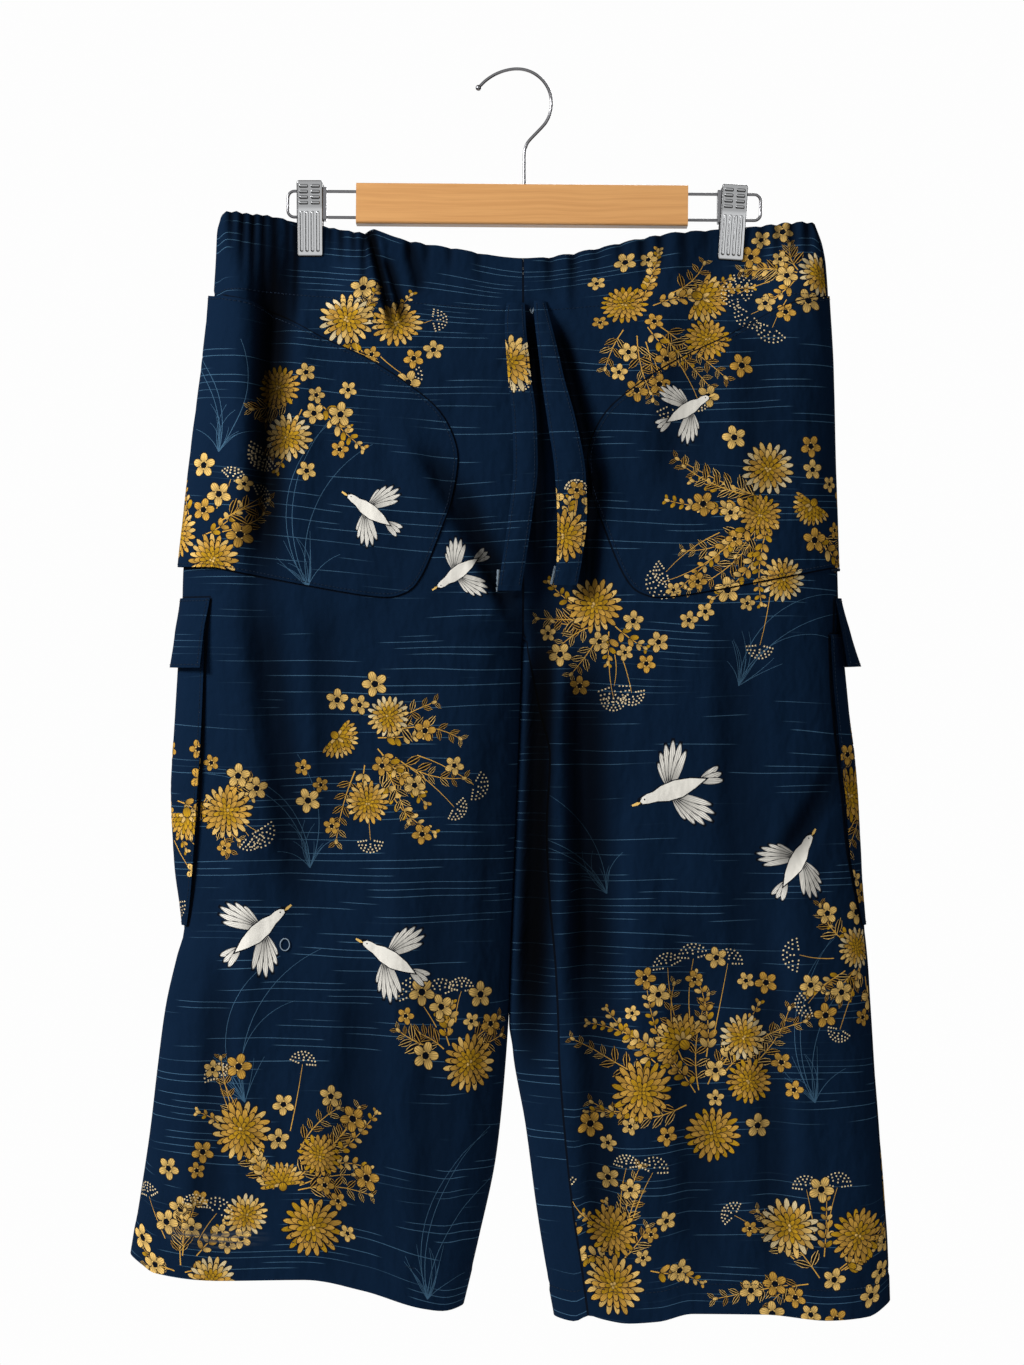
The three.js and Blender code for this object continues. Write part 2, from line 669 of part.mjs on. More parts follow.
function tie(side) {
  const table = TIES[side];
  const first = table[0].level;
  const last = table[table.length - 1].level;
  return wall(2, TIE_ROWS, TIE_WALL, (i, j) => {
    const level = THREE.MathUtils.lerp(first, last, j / TIE_ROWS);
    const x = along(table, 'level', 'x', level);
    const under = x < CENTRE ? 'right' : 'left';
    const base = place(under, crossing(under, level, x), level);
    const across = (i - 1) * 0.5;
    const crown = TIE_CROWN * (1 - 4 * across ** 2);
    const y = base.y - GAP - TIE_WALL - along(table, 'level', 'stand', level) - crown;
    const point = new THREE.Vector3(x + across * along(table, 'level', 'width', level), y, base.z);
    return { point, normal: new THREE.Vector3(0, -1, 0) };
  });
}

// Solids for cuts and joins
function toSolid(geometry) {
  const bare = geometry.clone();
  bare.deleteAttribute('normal');
  bare.deleteAttribute('uv');
  const merged = mergeVertices(bare, 1e-4);
  return new wasm.Manifold(new wasm.Mesh({
    numProp: 3,
    vertProperties: new Float32Array(merged.attributes.position.array),
    triVerts: new Uint32Array(merged.index.array),
  }));
}

// The largest piece of a cut solid, without slivers of no volume
function toGeometry(solid) {
  const pieces = solid.decompose().sort((a, b) => b.volume() - a.volume());
  const { vertProperties, triVerts } = pieces[0].getMesh();
  const geometry = new THREE.BufferGeometry();
  geometry.setAttribute('position', new THREE.Float32BufferAttribute(vertProperties, 3));
  geometry.setIndex([...triVerts]);
  geometry.computeVertexNormals();
  return geometry;
}

function moved(geometry, x, y, z) {
  return geometry.translate(x, y, z);
}

function wireAlong(points, diameter, steps) {
  const curve = new THREE.CatmullRomCurve3(points, false, 'centripetal');
  const section = new THREE.Shape().absarc(0, 0, diameter / 2, 0, 2 * Math.PI, false);
  return new THREE.ExtrudeGeometry(section, {
    steps, curveSegments: 4, extrudePath: curve, bevelEnabled: false,
  });
}

// The hook is a round arc, then a short straight run and a reverse bend down into the bar
function hookPoints() {
  const points = [];
  const centreZ = WIRE / 2 - HOOK.radius;
  for (let k = 0; k <= HOOK.turns; k += 1) {
    const angle = THREE.MathUtils.lerp(HOOK.from, HOOK.to, k / HOOK.turns) * THREE.MathUtils.DEG2RAD;
    const radius = HOOK.radius + HOOK.flare * Math.max(0, 1 - k / HOOK.flareTurns) ** 2;
    points.push(new THREE.Vector3(radius * Math.cos(angle), 0, centreZ + radius * Math.sin(angle)));
  }
  STEM.forEach(({ x, z }) => points.push(new THREE.Vector3(x, 0, z)));
  return points;
}

function hook() {
  const points = hookPoints();
  const wire = toSolid(wireAlong(points, WIRE, HOOK.steps));
  const ball = new THREE.SphereGeometry(BALL_RADIUS, 10, 6);
  moved(ball, points[0].x, points[0].y, points[0].z);
  return toGeometry(wire.add(toSolid(ball)));
}

function roundedRect(width, height, radius) {
  const shape = new THREE.Shape();
  const x = width / 2 - radius;
  const y = height / 2 - radius;
  shape.moveTo(width / 2, -y);
  shape.absarc(x, y, radius, 0, Math.PI / 2, false);
  shape.absarc(-x, y, radius, Math.PI / 2, Math.PI, false);
  shape.absarc(-x, -y, radius, Math.PI, 1.5 * Math.PI, false);
  shape.absarc(x, -y, radius, 1.5 * Math.PI, 2 * Math.PI, false);
  return shape;
}

// Along X, with the profile's width on Y and its height on Z
function alongX(shape, length, segments) {
  const geometry = new THREE.ExtrudeGeometry(shape, {
    depth: length, bevelEnabled: false, curveSegments: segments,
  });
  geometry.translate(0, 0, -length / 2);
  geometry.applyMatrix4(new THREE.Matrix4().makeBasis(
    new THREE.Vector3(0, 1, 0), new THREE.Vector3(0, 0, 1), new THREE.Vector3(1, 0, 0)));
  return geometry;
}

// Tilts a piece of the hanger about the middle of the bar
function tilted(geometry) {
  moved(geometry, -BAR.x, 0, -BAR.z);
  geometry.rotateY(HANGER_TILT);
  return moved(geometry, BAR.x, 0, BAR.z);
}

// The bar has a socket for the stem of the hook and two at each end for the wire loops
function bar() {
  const body = moved(alongX(roundedRect(BAR.depth, BAR.height, BAR.round), BAR.length, 3), BAR.x, 0, BAR.z);
  let solid = toSolid(tilted(body));
  const bore = WIRE / 2 + GAP;
  const stem = new THREE.CylinderGeometry(bore, bore, STEM_SOCKET.length, 12).rotateX(Math.PI / 2);
  solid = solid.subtract(toSolid(moved(stem, STEM_SOCKET.x, 0, STEM_SOCKET.z)));
  for (const end of [-1, 1]) {
    for (const row of [-1, 1]) {
      const radius = LOOP.wire / 2 + GAP;
      const socket = new THREE.CylinderGeometry(radius, radius, 2 * SOCKET_DEPTH, 12).rotateZ(Math.PI / 2);
      moved(socket, BAR.x + (end * BAR.length) / 2, 0, BAR.z + row * LOOP.halfHeight);
      solid = solid.subtract(toSolid(tilted(socket)));
    }
  }
  return toGeometry(solid);
}

// A U of wire from one socket, round the end, and back into the other
function loop(far) {
  const end = Math.sign(far);
  const near = BAR.x + end * (BAR.length / 2 - SOCKET_DEPTH + 1);
  const bend = far - end * LOOP.corner;
  const points = [];
  for (let k = 0; k < LOOP.straightSteps; k += 1) {
    points.push([THREE.MathUtils.lerp(near, bend, k / LOOP.straightSteps), LOOP.halfHeight]);
  }
  for (let k = 0; k <= LOOP.cornerSteps; k += 1) {
    const angle = (k / LOOP.cornerSteps) * (Math.PI / 2);
    points.push([bend + end * LOOP.corner * Math.sin(angle),
      LOOP.halfHeight - LOOP.corner * (1 - Math.cos(angle))]);
  }
  const path = [...points, ...points.map(([x, z]) => [x, -z]).reverse()];
  const wire = wireAlong(path.map(([x, z]) => new THREE.Vector3(x, 0, z)), LOOP.wire, LOOP.steps);
  return tilted(moved(wire, 0, 0, BAR.z));
}

// A pressed plate with finger bars above and ribs on the jaw. Its face is -Y and its top is at z 0.
function plate(withGrip) {
  const { width, height, thick, round, sunk } = PLATE;
  const flat = new THREE.ExtrudeGeometry(roundedRect(width, height, round),
    { depth: thick, bevelEnabled: false, curveSegments: 3 });
  let solid = toSolid(moved(flat.rotateX(Math.PI / 2), 0, 0, -height / 2));
  const raise = (size, x, z) => {
    const block = new THREE.BoxGeometry(size.width, size.deep + 2 * sunk, size.height);
    solid = solid.add(toSolid(moved(block, x, sunk - thick - size.deep / 2, z)));
  };
  if (withGrip) {
    for (let k = 0; k < GRIP.rows; k += 1) {
      for (const hand of [-1, 1]) raise(GRIP, hand * GRIP.x, GRIP.top - GRIP.pitch * k);
    }
    for (let k = 0; k < RIBS.count; k += 1) raise(RIBS, (k - (RIBS.count - 1) / 2) * RIBS.pitch, RIBS.z);
  }
  return toGeometry(solid);
}

// Stands a plate against the cloth: its jaw end closes on it and its upper end leans away
function seatPlate(geometry, clip, face) {
  moved(geometry, 0, 0, PLATE.height);
  geometry.rotateX(PLATE.tilt);
  moved(geometry, 0, -JAW_CLEAR, -PLATE.height);
  if (face === 'back') geometry.rotateZ(Math.PI);
  geometry.rotateY(clip.lean);
  return moved(geometry, clip.x, 0, clip.top);
}

function slider(clip) {
  const shape = roundedRect(SLIDER.depth, SLIDER.height, SLIDER.round);
  shape.holes.push(roundedRect(SLIDER.slot, SLIDER.slotHeight, SLIDER.slotRound));
  const sleeve = alongX(shape, SLIDER.length, 2);
  sleeve.rotateY(HANGER_TILT);
  return moved(sleeve, clip.slider, 0, BAR.z - HANGER_TILT * (clip.slider - BAR.x));
}

const group = new THREE.Group();

function add(name, geometry, material) {
  const mesh = new THREE.Mesh(geometry, material);
  mesh.name = name;
  group.add(mesh);
}

add('hook', hook(), STEEL);
add('bar', bar(), WOOD);
add('loop_right', loop(LOOP_ENDS.right), STEEL);
add('loop_left', loop(LOOP_ENDS.left), STEEL);
for (const [side, clip] of Object.entries(CLIPS)) {
  add(`clip_${side}_front`, seatPlate(plate(true), clip, 'front'), STEEL);
  add(`clip_${side}_back`, seatPlate(plate(false), clip, 'back'), STEEL);
  add(`clip_${side}_slider`, slider(clip), STEEL);
}
for (const side of ['right', 'left']) {
  add(`front_${side}`, panel(side, 'front'), CLOTH);
  add(`back_${side}`, panel(side, 'back'), CLOTH);
  add(`hip_pocket_${side}`, hipPocket(side), CLOTH_TRIM);
  const pocketSlack = (s, level) => cargoSlack(CARGO_EDGE[side], s, level);
  add(`cargo_pocket_${side}`, sidePatch(side, CARGO, CARGO_EDGE[side], pocketSlack), CLOTH_TRIM);
  const standOff = (s, level) => flapSlack(side, s, level);
  add(`cargo_flap_${side}`, sidePatch(side, FLAP, FLAP_EDGE[side], standOff), CLOTH_TRIM);
  add(`tie_${side}`, tie(side), CLOTH_TRIM);
}

export default group;
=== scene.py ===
# Cropped wide-leg cargo trousers, hung flat by the waist from a wooden hanger with two metal clips.
# Sizes are in millimetres in the part's own frame, and each mesh is made in metres.
# Cloth is laid out flat first: X runs across the front view and level runs down from the waist.
import math
import random

import bpy
import numpy as np
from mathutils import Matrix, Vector
from mathutils.geometry import delaunay_2d_cdt


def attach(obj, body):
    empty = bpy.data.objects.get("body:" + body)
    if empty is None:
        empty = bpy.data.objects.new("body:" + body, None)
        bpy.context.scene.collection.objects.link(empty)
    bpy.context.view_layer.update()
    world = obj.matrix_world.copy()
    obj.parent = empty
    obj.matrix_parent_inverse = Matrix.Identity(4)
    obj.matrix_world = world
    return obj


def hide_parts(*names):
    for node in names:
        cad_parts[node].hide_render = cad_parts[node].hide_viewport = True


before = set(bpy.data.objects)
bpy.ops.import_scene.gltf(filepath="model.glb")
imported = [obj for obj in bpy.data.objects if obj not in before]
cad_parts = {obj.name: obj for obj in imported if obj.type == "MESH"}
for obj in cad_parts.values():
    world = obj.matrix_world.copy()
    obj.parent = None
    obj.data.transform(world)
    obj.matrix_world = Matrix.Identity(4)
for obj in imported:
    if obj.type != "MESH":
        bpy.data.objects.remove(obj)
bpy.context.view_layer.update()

MM = 0.001
CLOTH = 1.0
GAP = 0.3
SEAM_HALF = 0.02
CENTRE = 4.7
WAIST = -118
TORSO_END = -330
CROTCH = -448
SEAM_TURN = -443
HEM = {"right": -938, "left": -966}
WAIST_FADE = 110
HEM_FADE = 260
PROBE = 1.0
# Pitch of the cloth's grid and of its edges
PITCH = 4
SIDE_SEAM = {"right": 0, "left": 6}
PRESS = {"by": 1.5, "from": -762}
WAY = {"right": 1, "left": -1}

# Tables of the flattened sections are kept at even levels
TABLE_TOP = -106
TABLE_STEP = 2
TABLE_ROWS = 440
TABLE_SHARES = 361


def rows(names, *values):
    """A short table with named columns."""
    columns = np.array(values, float).T
    return dict(zip(names.split(), columns))


# The folded edges of the flattened garment. inseam is where the inner leg seam runs on the front.
OUTER_FOLD = {
    "right": rows("level x", (-118, -230.5), (-128, -233.5), (-150, -234.5), (-180, -236.5), (-225, -241),
        (-300, -250.5), (-350, -256), (-395, -260.5), (-448, -261.5), (-500, -263), (-560, -265),
        (-620, -263), (-669, -259.5), (-690, -265), (-730, -274), (-780, -280.5), (-830, -286), (-890, -294),
        (-938, -301)),
    "left": rows("level x", (-118, 232), (-128, 237), (-148, 240.5), (-190, 243), (-237, 245.5), (-307, 247),
        (-350, 248.5), (-395, 250), (-448, 251.5), (-500, 255), (-535, 259), (-590, 263.5), (-640, 268),
        (-700, 274), (-740, 276.5), (-765, 278), (-820, 282), (-880, 286.5), (-920, 289), (-966, 290.5)),
}
INNER_FOLD = {
    "right": rows("level x inseam", (-448, 4.1, 4.1), (-500, 2.6, 2.6), (-560, 0.4, 0.4), (-620, -2, -2),
        (-669, -4, -4), (-690, -4.8, -4.8), (-730, -6.2, -6.2), (-780, -10, -10), (-830, -16, -16),
        (-890, -30, -30), (-938, -42, -42)),
    "left": rows("level x inseam", (-448, 5.3, 7.5), (-500, 3.8, 18), (-535, 2.6, 25.5), (-590, 0.4, 23),
        (-640, -1.6, 25), (-700, -3.9, 30), (-740, -5, 31.8), (-765, -3.4, 32.5), (-820, 6.5, 36.5),
        (-880, 14.6, 43), (-920, 21, 49), (-966, 29, 55)),
}

# How far the front and back stand from the middle plane, and how soon the sides round over
DEPTHS = rows("level front back round", (-118, 7, 6, 10), (-150, 11, 8.5, 18), (-190, 18, 12, 34),
    (-240, 24, 15, 52), (-320, 28, 18, 64), (-448, 28, 18, 70), (-620, 26, 18, 70), (-800, 25, 17, 64),
    (-966, 23, 15, 54))

WAIST_EDGE = rows("x z", (-232, -116), (-224.5, -110.4), (-207, -112), (-192, -113.5), (-176, -117.4),
    (-149, -122), (-118, -127), (-112.6, -124.6), (-106, -127), (-91, -132.2), (-44, -140.7), (-9, -146.8),
    (4.7, -147.7), (18, -147), (57, -140.7), (103, -130.6), (127, -126.8), (177, -122.9), (208, -119.8),
    (228, -118.8), (236, -124))
HEM_EDGE = {
    "right": rows("x z", (-301, -922), (-291, -927.5), (-280, -933.5), (-230, -938.4), (-164, -937.7),
        (-119, -946), (-72, -960.7), (-55, -963.5), (-42, -961.5)),
    "left": rows("x z", (29, -970), (44, -971.4), (56, -966), (66, -968.4), (86, -971.4), (109, -970),
        (135, -964), (191, -964.5), (240, -969.2), (271, -967.6), (290, -958.5)),
}

# Where the clips press the front and back together
PINCHES = [(-161.2, -133), (167.5, -136)]
PINCH_HALF = (13, 17)
PINCH_FADE = (34, 60)
PINCHED_HALF = 2.15

# Long folds from one end to the other. A minus depth is a trough and a plus depth a ridge.
# With a plus lean the side toward -X is steep and the other side is gentle.
# Each has x and z of one end, x and z of the other, width, depth and lean.
CREASE_ENDS = {"before": 0.12, "rise": 0.3, "fall": 0.4}
CREASES = {
    "front": [(-190, -150, -199, -398, 11, -16, 0.05), (-216, -150, -214, -330, 9, 3, 0),
        (-166, -190, -170, -390, 13, 2.5, 0), (-117, -120, -96, -205, 3.4, -5.5, 0.3),
        (-103, -146, -88, -200, 3, -4.5, 0.3), (-108, -130, -92, -198, 4, 3, 0),
        (-84, -136, -76, -176, 4, -2.5, 0.2), (-72, -300, -4, -424, 8, -5, 0.2),
        (-44, -330, 0, -440, 7, -3.5, 0.2), (-96, -262, -50, -400, 12, 2, 0),
        (62, -310, 14, -430, 9, -3.5, 0), (-152, -420, -146, -600, 9, -2.5, 0.2),
        (-202, -412, -168, -655, 11, -7, 0), (-207, -560, -216, -880, 14, 3, 0),
        (-120, -700, -140, -930, 15, -4, 0.1), (-62, -600, -72, -930, 14, -3.5, 0.1),
        (-92, -480, -97, -800, 16, 2, 0), (-20, -500, -28, -900, 10, -3, 0),
        (-232, -700, -246, -925, 10, -3, 0.2), (16, -436, 5, -765, 9, -26, 0.2),
        (28, -452, 25, -610, 7, 3, 0), (47, -462, 54, -748, 13, -15, 0.1), (56, -735, 66, -940, 12, -6, 0.1),
        (92, -560, 98, -930, 16, 3, 0), (130, -190, 112, -330, 12, -3, 0.1),
        (162, -420, 174, -720, 13, -3.5, 0.1), (250, -536, 205, -614, 8, -5.5, 0.1),
        (244, -575, 214, -650, 8, 2.5, 0), (124, -650, 136, -940, 13, -4, 0.15),
        (214, -640, 222, -940, 14, 3, 0), (190, -690, 196, -940, 10, -3, 0.1),
        (178, -200, 186, -360, 12, -2.5, 0), (10, -196, 15, -400, 5.5, -7, 0),
        (30, -205, 58, -322, 6, -7, 0.1), (58, -316, 52, -412, 6, -7, 0.1)],
    "back": [(-190, -130, -184, -370, 10, -8, 0.1), (-96, -150, -62, -420, 12, -4.5, 0.1),
        (-150, -430, -166, -840, 13, -5, 0.1), (-60, -520, -84, -900, 14, 3, 0),
        (-212, -560, -228, -920, 12, -4, 0.2), (-30, -460, -36, -760, 9, -6, 0.1),
        (-70, -300, -10, -426, 9, -4, 0.2), (70, -300, 16, -430, 9, -4, 0),
        (108, -150, 70, -420, 12, -4.5, 0.1), (190, -130, 186, -360, 10, -6, 0.1),
        (150, -440, 168, -860, 13, -5, 0.1), (62, -540, 86, -930, 14, 3, 0),
        (120, -700, 132, -940, 12, -4, 0.1), (228, -620, 240, -930, 11, -4, 0.2)],
}

# Gathers that the elastic draws down from the waist edge. The back ones are even, with uneven lengths.
# Each has its x, drop, width and depth.
BACK_GATHERS = {"count": 26, "first": -219, "pitch": 17.6, "sway": 3, "drop": 48, "drop_sway": 20,
                "width": 3.8, "depth": 2.4, "depth_sway": 0.8}


def back_gathers():
    g = BACK_GATHERS
    return [
        (g["first"] + g["pitch"] * k + g["sway"] * math.sin(2.1 * k),
         g["drop"] + g["drop_sway"] * math.sin(1.3 * k + 1), g["width"],
         g["depth"] + g["depth_sway"] * math.sin(2.9 * k))
        for k in range(g["count"])]


GATHERS = {
    "front": [(-222, 40, 2.6, 2.6), (-213, 66, 2.8, 3.4), (-205, 88, 2.6, 4.0), (-197, 84, 2.4, 3.6),
        (-189, 110, 2.8, 4.2), (-179, 60, 2.2, 2.6), (-172.5, 104, 2.4, 4.0), (-146, 26, 2.2, 2.2),
        (-137, 34, 2.6, 2.6), (-127, 30, 2.4, 2.2), (-119, 60, 2.6, 3.0), (-84, 34, 3.0, 2.2),
        (-70, 30, 3.4, 2.0), (-52, 24, 3.0, 1.6), (-30, 28, 3.2, 1.6), (26, 45, 4.0, 2.4), (44, 60, 3.8, 2.8),
        (62, 34, 4.2, 2.0), (80, 28, 3.4, 1.8), (98, 48, 3.6, 2.6), (112, 36, 3.4, 2.4), (130, 55, 3.6, 2.8),
        (146, 32, 3.2, 2.2), (190, 36, 3.0, 2.8), (202, 48, 3.0, 3.0), (214, 40, 3.0, 3.0),
        (226, 52, 3.0, 3.0)],
    "back": back_gathers(),
}

# How dark the folds get, and how far their shadow reaches away from the light
SHADE = {"strength": 1.9, "shift": 0.5, "gathers": 0.75}
RUFFLE = {"share": 0.45, "drop": 14}

# Sewn lines that dimple the cloth: below the waist casing and above each hem
CASING_LEVEL = -176
HEM_LINES = {"right": -909, "left": -943}
DOUBLED = 0.5
DIMPLE = {"depth": 0.7, "width": 1.6}


def smooth(value):
    t = np.clip(value, 0, 1)
    return t * t * (3 - 2 * t)


def along(table, column, at):
    """A column at places along a table's first one, on a smooth curve that never overshoots its rows."""
    key = next(iter(table))
    order = np.argsort(table[key])
    keys, values = table[key][order], table[column][order]
    slopes = np.diff(values) / np.diff(keys)
    before, after = slopes[:-1], slopes[1:]
    same_way = before * after > 0
    inner = np.where(same_way, 2 * before * after / np.where(same_way, before + after, 1), 0)
    tangents = np.concatenate([slopes[:1], inner, slopes[-1:]])
    at = np.asarray(at, float)
    i = np.clip(np.searchsorted(keys, at) - 1, 0, len(keys) - 2)
    span = keys[i + 1] - keys[i]
    t = np.clip((at - keys[i]) / span, 0, 1)
    rise = 3 * t ** 2 - 2 * t ** 3
    return ((1 - rise) * values[i] + rise * values[i + 1]
            + span * ((t ** 3 - 2 * t ** 2 + t) * tangents[i] + (t ** 3 - t ** 2) * tangents[i + 1]))


def joined(*parts):
    """Arrays side by side along a new last axis."""
    return np.stack(parts, axis=-1)


def unit(vectors):
    return vectors / np.linalg.norm(vectors, axis=-1, keepdims=True)


def sideways(path, closed=False):
    """Unit directions square to a flat path."""
    ahead = np.roll(path, -1, axis=0) - np.roll(path, 1, axis=0) if closed else np.gradient(path, axis=0)
    return unit(ahead[:, ::-1] * (-1, 1))


def toward(angle):
    return np.array([math.cos(angle), math.sin(angle)])


def turned(u, v, angle):
    """Both coordinates after a turn from the first axis toward the second."""
    c, s = toward(angle)
    return u * c - v * s, u * s + v * c


def pressed(level):
    """How far the left leg's inner fold is pressed onto the right one."""
    return PRESS["by"] * smooth((level - PRESS["from"]) / 20)


def outer_fold(side, level):
    return along(OUTER_FOLD[side], "x", level)


def inner_fold(side, level):
    """Above the crotch both sides share one flattened tube, so the far fold is the mirrored outer one."""
    mirrored = 2 * CENTRE - outer_fold(side, level)
    inner = along(INNER_FOLD[side], "x", np.minimum(level, CROTCH))
    if side == "left":
        inner = inner - pressed(level)
    share = smooth((level - TORSO_END) / (CROTCH - TORSO_END))
    return mirrored + (inner - mirrored) * share


def section_table(side):
    """x and bulge at even shares of the way round the front, for each level of the table."""
    levels = TABLE_TOP - TABLE_STEP * np.arange(TABLE_ROWS)
    outer, inner = outer_fold(side, levels)[:, None], inner_fold(side, levels)[:, None]
    turn, front = (along(DEPTHS, column, levels)[:, None] for column in ("round", "front"))
    span = np.abs(inner - outer)
    ends = turn * (1 - np.cos(np.linspace(0, math.pi / 2, 29)))
    middle = turn + (span - 2 * turn) * np.linspace(0, 1, 41)[1:-1]
    distances = np.concatenate([ends, middle, (span - ends)[:, ::-1]], axis=1)

    def full(d):
        return np.sqrt(np.maximum(0, 1 - (1 - np.clip(d / turn, 0, 1)) ** 2))

    x = outer + np.sign(inner - outer) * distances
    bulge = full(distances) * full(span - distances)
    steps = np.hypot(np.diff(x), np.diff(bulge * front))
    s = np.concatenate([np.zeros((len(levels), 1)), np.cumsum(steps, axis=1)], axis=1)
    shares = np.linspace(0, 1, TABLE_SHARES)
    even = [np.array([np.interp(shares * far[-1], far, line) for far, line in zip(s, grid)])
            for grid in (x, bulge)]
    return {"half": s[:, -1], "x": even[0], "bulge": even[1]}


SECTIONS = {side: section_table(side) for side in HEM}


def half_round(side, level):
    """Distance from the outer fold to the inner fold at a level."""
    return np.interp((TABLE_TOP - level) / TABLE_STEP, np.arange(TABLE_ROWS), SECTIONS[side]["half"])


def on_section(side, s, level):
    """x, bulge and whether it is on the front, at a distance round the section from its outer fold."""
    table = SECTIONS[side]
    row = np.clip((TABLE_TOP - level) / TABLE_STEP, 0, TABLE_ROWS - 1.001)
    share = np.abs(s) / half_round(side, level)
    over = share > 1
    share = np.clip(np.where(over, 2 - share, share), 0, 1) * (TABLE_SHARES - 1)
    i, j = row.astype(int), np.minimum(share.astype(int), TABLE_SHARES - 2)
    u, v = row - i, share - j

    def read(grid):
        upper = grid[i, j] * (1 - v) + grid[i, j + 1] * v
        lower = grid[i + 1, j] * (1 - v) + grid[i + 1, j + 1] * v
        return upper * (1 - u) + lower * u

    return read(table["x"]), read(table["bulge"]), (s >= 0) != over


def crossing(side, level, x):
    """Distance from the outer fold at which the front of the section crosses x."""
    level, x = np.broadcast_arrays(np.asarray(level, float), np.asarray(x, float))
    low, high = np.zeros(level.shape), half_round(side, level)
    for _ in range(26):
        middle = (low + high) / 2
        past = (on_section(side, middle, level)[0] - x) * WAY[side] > 0
        high = np.where(past, middle, high)
        low = np.where(past, low, middle)
    return (low + high) / 2


def gathered(face, x, below, steep=False):
    """How deep, or how steep, the gathers are at a place so far below the waist edge."""
    found = np.zeros(x.shape)
    for gx, drop, width, depth in GATHERS[face]:
        size = depth / width if steep else depth
        found += size * smooth(1 - below / drop) * np.exp(-(((x - gx) / width) ** 2))
    return found


def creased(face, x, z, steep=False, shift=0.0):
    """Outward push of the long folds, or how steep they are, moved toward +X by a share of their width."""
    push = np.zeros(x.shape)
    for x0, z0, x1, z1, width, depth, lean in CREASES[face]:
        dx, dz = x1 - x0, z1 - z0
        t = ((x - x0) * dx + (z - z0) * dz) / (dx * dx + dz * dz)
        ends = (smooth((t + CREASE_ENDS["before"]) / CREASE_ENDS["rise"])
                * smooth((1 + CREASE_ENDS["before"] - t) / CREASE_ENDS["fall"]))
        away = ((z - z0) * dx - (x - x0) * dz) / math.hypot(dx, dz) - shift * width
        spread = width * (1 + lean * np.sign(away))
        size = depth / width if steep else depth
        push += size * ends * np.exp(-((away / spread) ** 2))
    return push


def relief(face, x, z):
    """Outward push of folds and gathers at a place on the front or back."""
    return creased(face, x, z) - gathered(face, x, along(WAIST_EDGE, "z", x) - z)


def on_face(front, value_on):
    """A value worked out for each face, picked by where the place is."""
    return np.where(front, value_on("front"), value_on("back"))


def shade(side, s, level):
    """How much light reaches into a fold: 1 on open cloth, less in a steep trough and on its far wall."""
    x, bulge, front = on_section(side, s, level)
    z = place(side, s, level)[..., 2]
    below = along(WAIST_EDGE, "z", x) - z

    def steep(face):
        near, far = (creased(face, x, z, True, shift) for shift in (0, SHADE["shift"]))
        return np.minimum(np.minimum(near, far), 0) - SHADE["gathers"] * gathered(face, x, below, True)

    return np.exp(SHADE["strength"] * on_face(front, steep) * bulge)


def pinch(x, z):
    held = np.zeros(x.shape)
    for px, pz in PINCHES:
        beside = smooth(1 - (np.abs(x - px) - PINCH_HALF[0]) / PINCH_FADE[0])
        below = smooth(1 - (np.abs(z - pz) - PINCH_HALF[1]) / PINCH_FADE[1])
        held = np.maximum(held, beside * below)
    return held


def place(side, s, level):
    """Places on the outside of the cloth, at distances round the section from its outer fold."""
    x, bulge, front = on_section(side, s, level)
    toward_waist = smooth(1 - (WAIST - level) / WAIST_FADE)
    toward_hem = smooth(1 - (level - HEM[side]) / HEM_FADE)
    z = (level + (along(WAIST_EDGE, "z", x) - WAIST) * toward_waist
         + (along(HEM_EDGE[side], "z", x) - HEM[side]) * toward_hem)
    below = np.maximum(WAIST - level, 0)
    ruffle = on_face(front, lambda face: gathered(face, x, below))
    z = z - RUFFLE["share"] * ruffle * smooth(1 - below / RUFFLE["drop"])
    held = pinch(x, z)
    stand = on_face(front, lambda face: along(DEPTHS, face, level))
    push = on_face(front, lambda face: relief(face, x, z))
    loose = bulge * stand + push * bulge ** 2 * (1 - held)
    depth = loose + (PINCHED_HALF * bulge - loose) * held
    return joined(x, np.where(front, -depth, depth), z)


def outward(side, s, level):
    across = place(side, s + PROBE, level) - place(side, s - PROBE, level)
    up = place(side, s, level + PROBE) - place(side, s, level - PROBE)
    return unit(np.cross(across, up) * WAY[side])


def no_lift(side, s, level):
    return np.zeros(np.shape(s))


def leg_surface(side, lift=no_lift):
    """Maps flat places (X, level) to points and outward directions on that side's cloth."""
    def around(flat):
        return (flat[:, 0] - outer_fold(side, flat[:, 1])) * WAY[side], flat[:, 1]

    def surface(flat):
        s, level = around(flat)
        normal = outward(side, s, level)
        return place(side, s, level) + normal * lift(side, s, level)[:, None], normal

    surface.light = lambda flat: shade(side, *around(flat))
    return surface


def flat_place(side, s, level):
    """Flat places from distances round the section."""
    return joined(outer_fold(side, level) + WAY[side] * s, level)


def panel_lift(side, s, level):
    """The cloth is doubled in the casing and the hem, and dimples along their stitching."""
    push = np.zeros(np.shape(s))
    for line, way in ((CASING_LEVEL, 1), (HEM_LINES[side], -1)):
        past = (level - line) * way
        push += DOUBLED * smooth(past / 2 + 0.5)
        push -= DIMPLE["depth"] * np.exp(-((past / DIMPLE["width"]) ** 2))
    return push


def seams(side, face, level):
    """Flat X of the two seams that bound a panel, at levels."""
    torso = level > SEAM_TURN
    inseam = np.where(torso, CENTRE, along(INNER_FOLD[side], "inseam", level))
    front_end = crossing(side, level, inseam)
    if face == "front":
        start, end = SIDE_SEAM[side] + SEAM_HALF + 0 * level, front_end - SEAM_HALF
    else:
        around = np.where(torso, -front_end, front_end - 2 * half_round(side, level))
        start, end = SIDE_SEAM[side] - SEAM_HALF + 0 * level, around + SEAM_HALF
    outer = outer_fold(side, level)
    return outer + WAY[side] * start, outer + WAY[side] * end


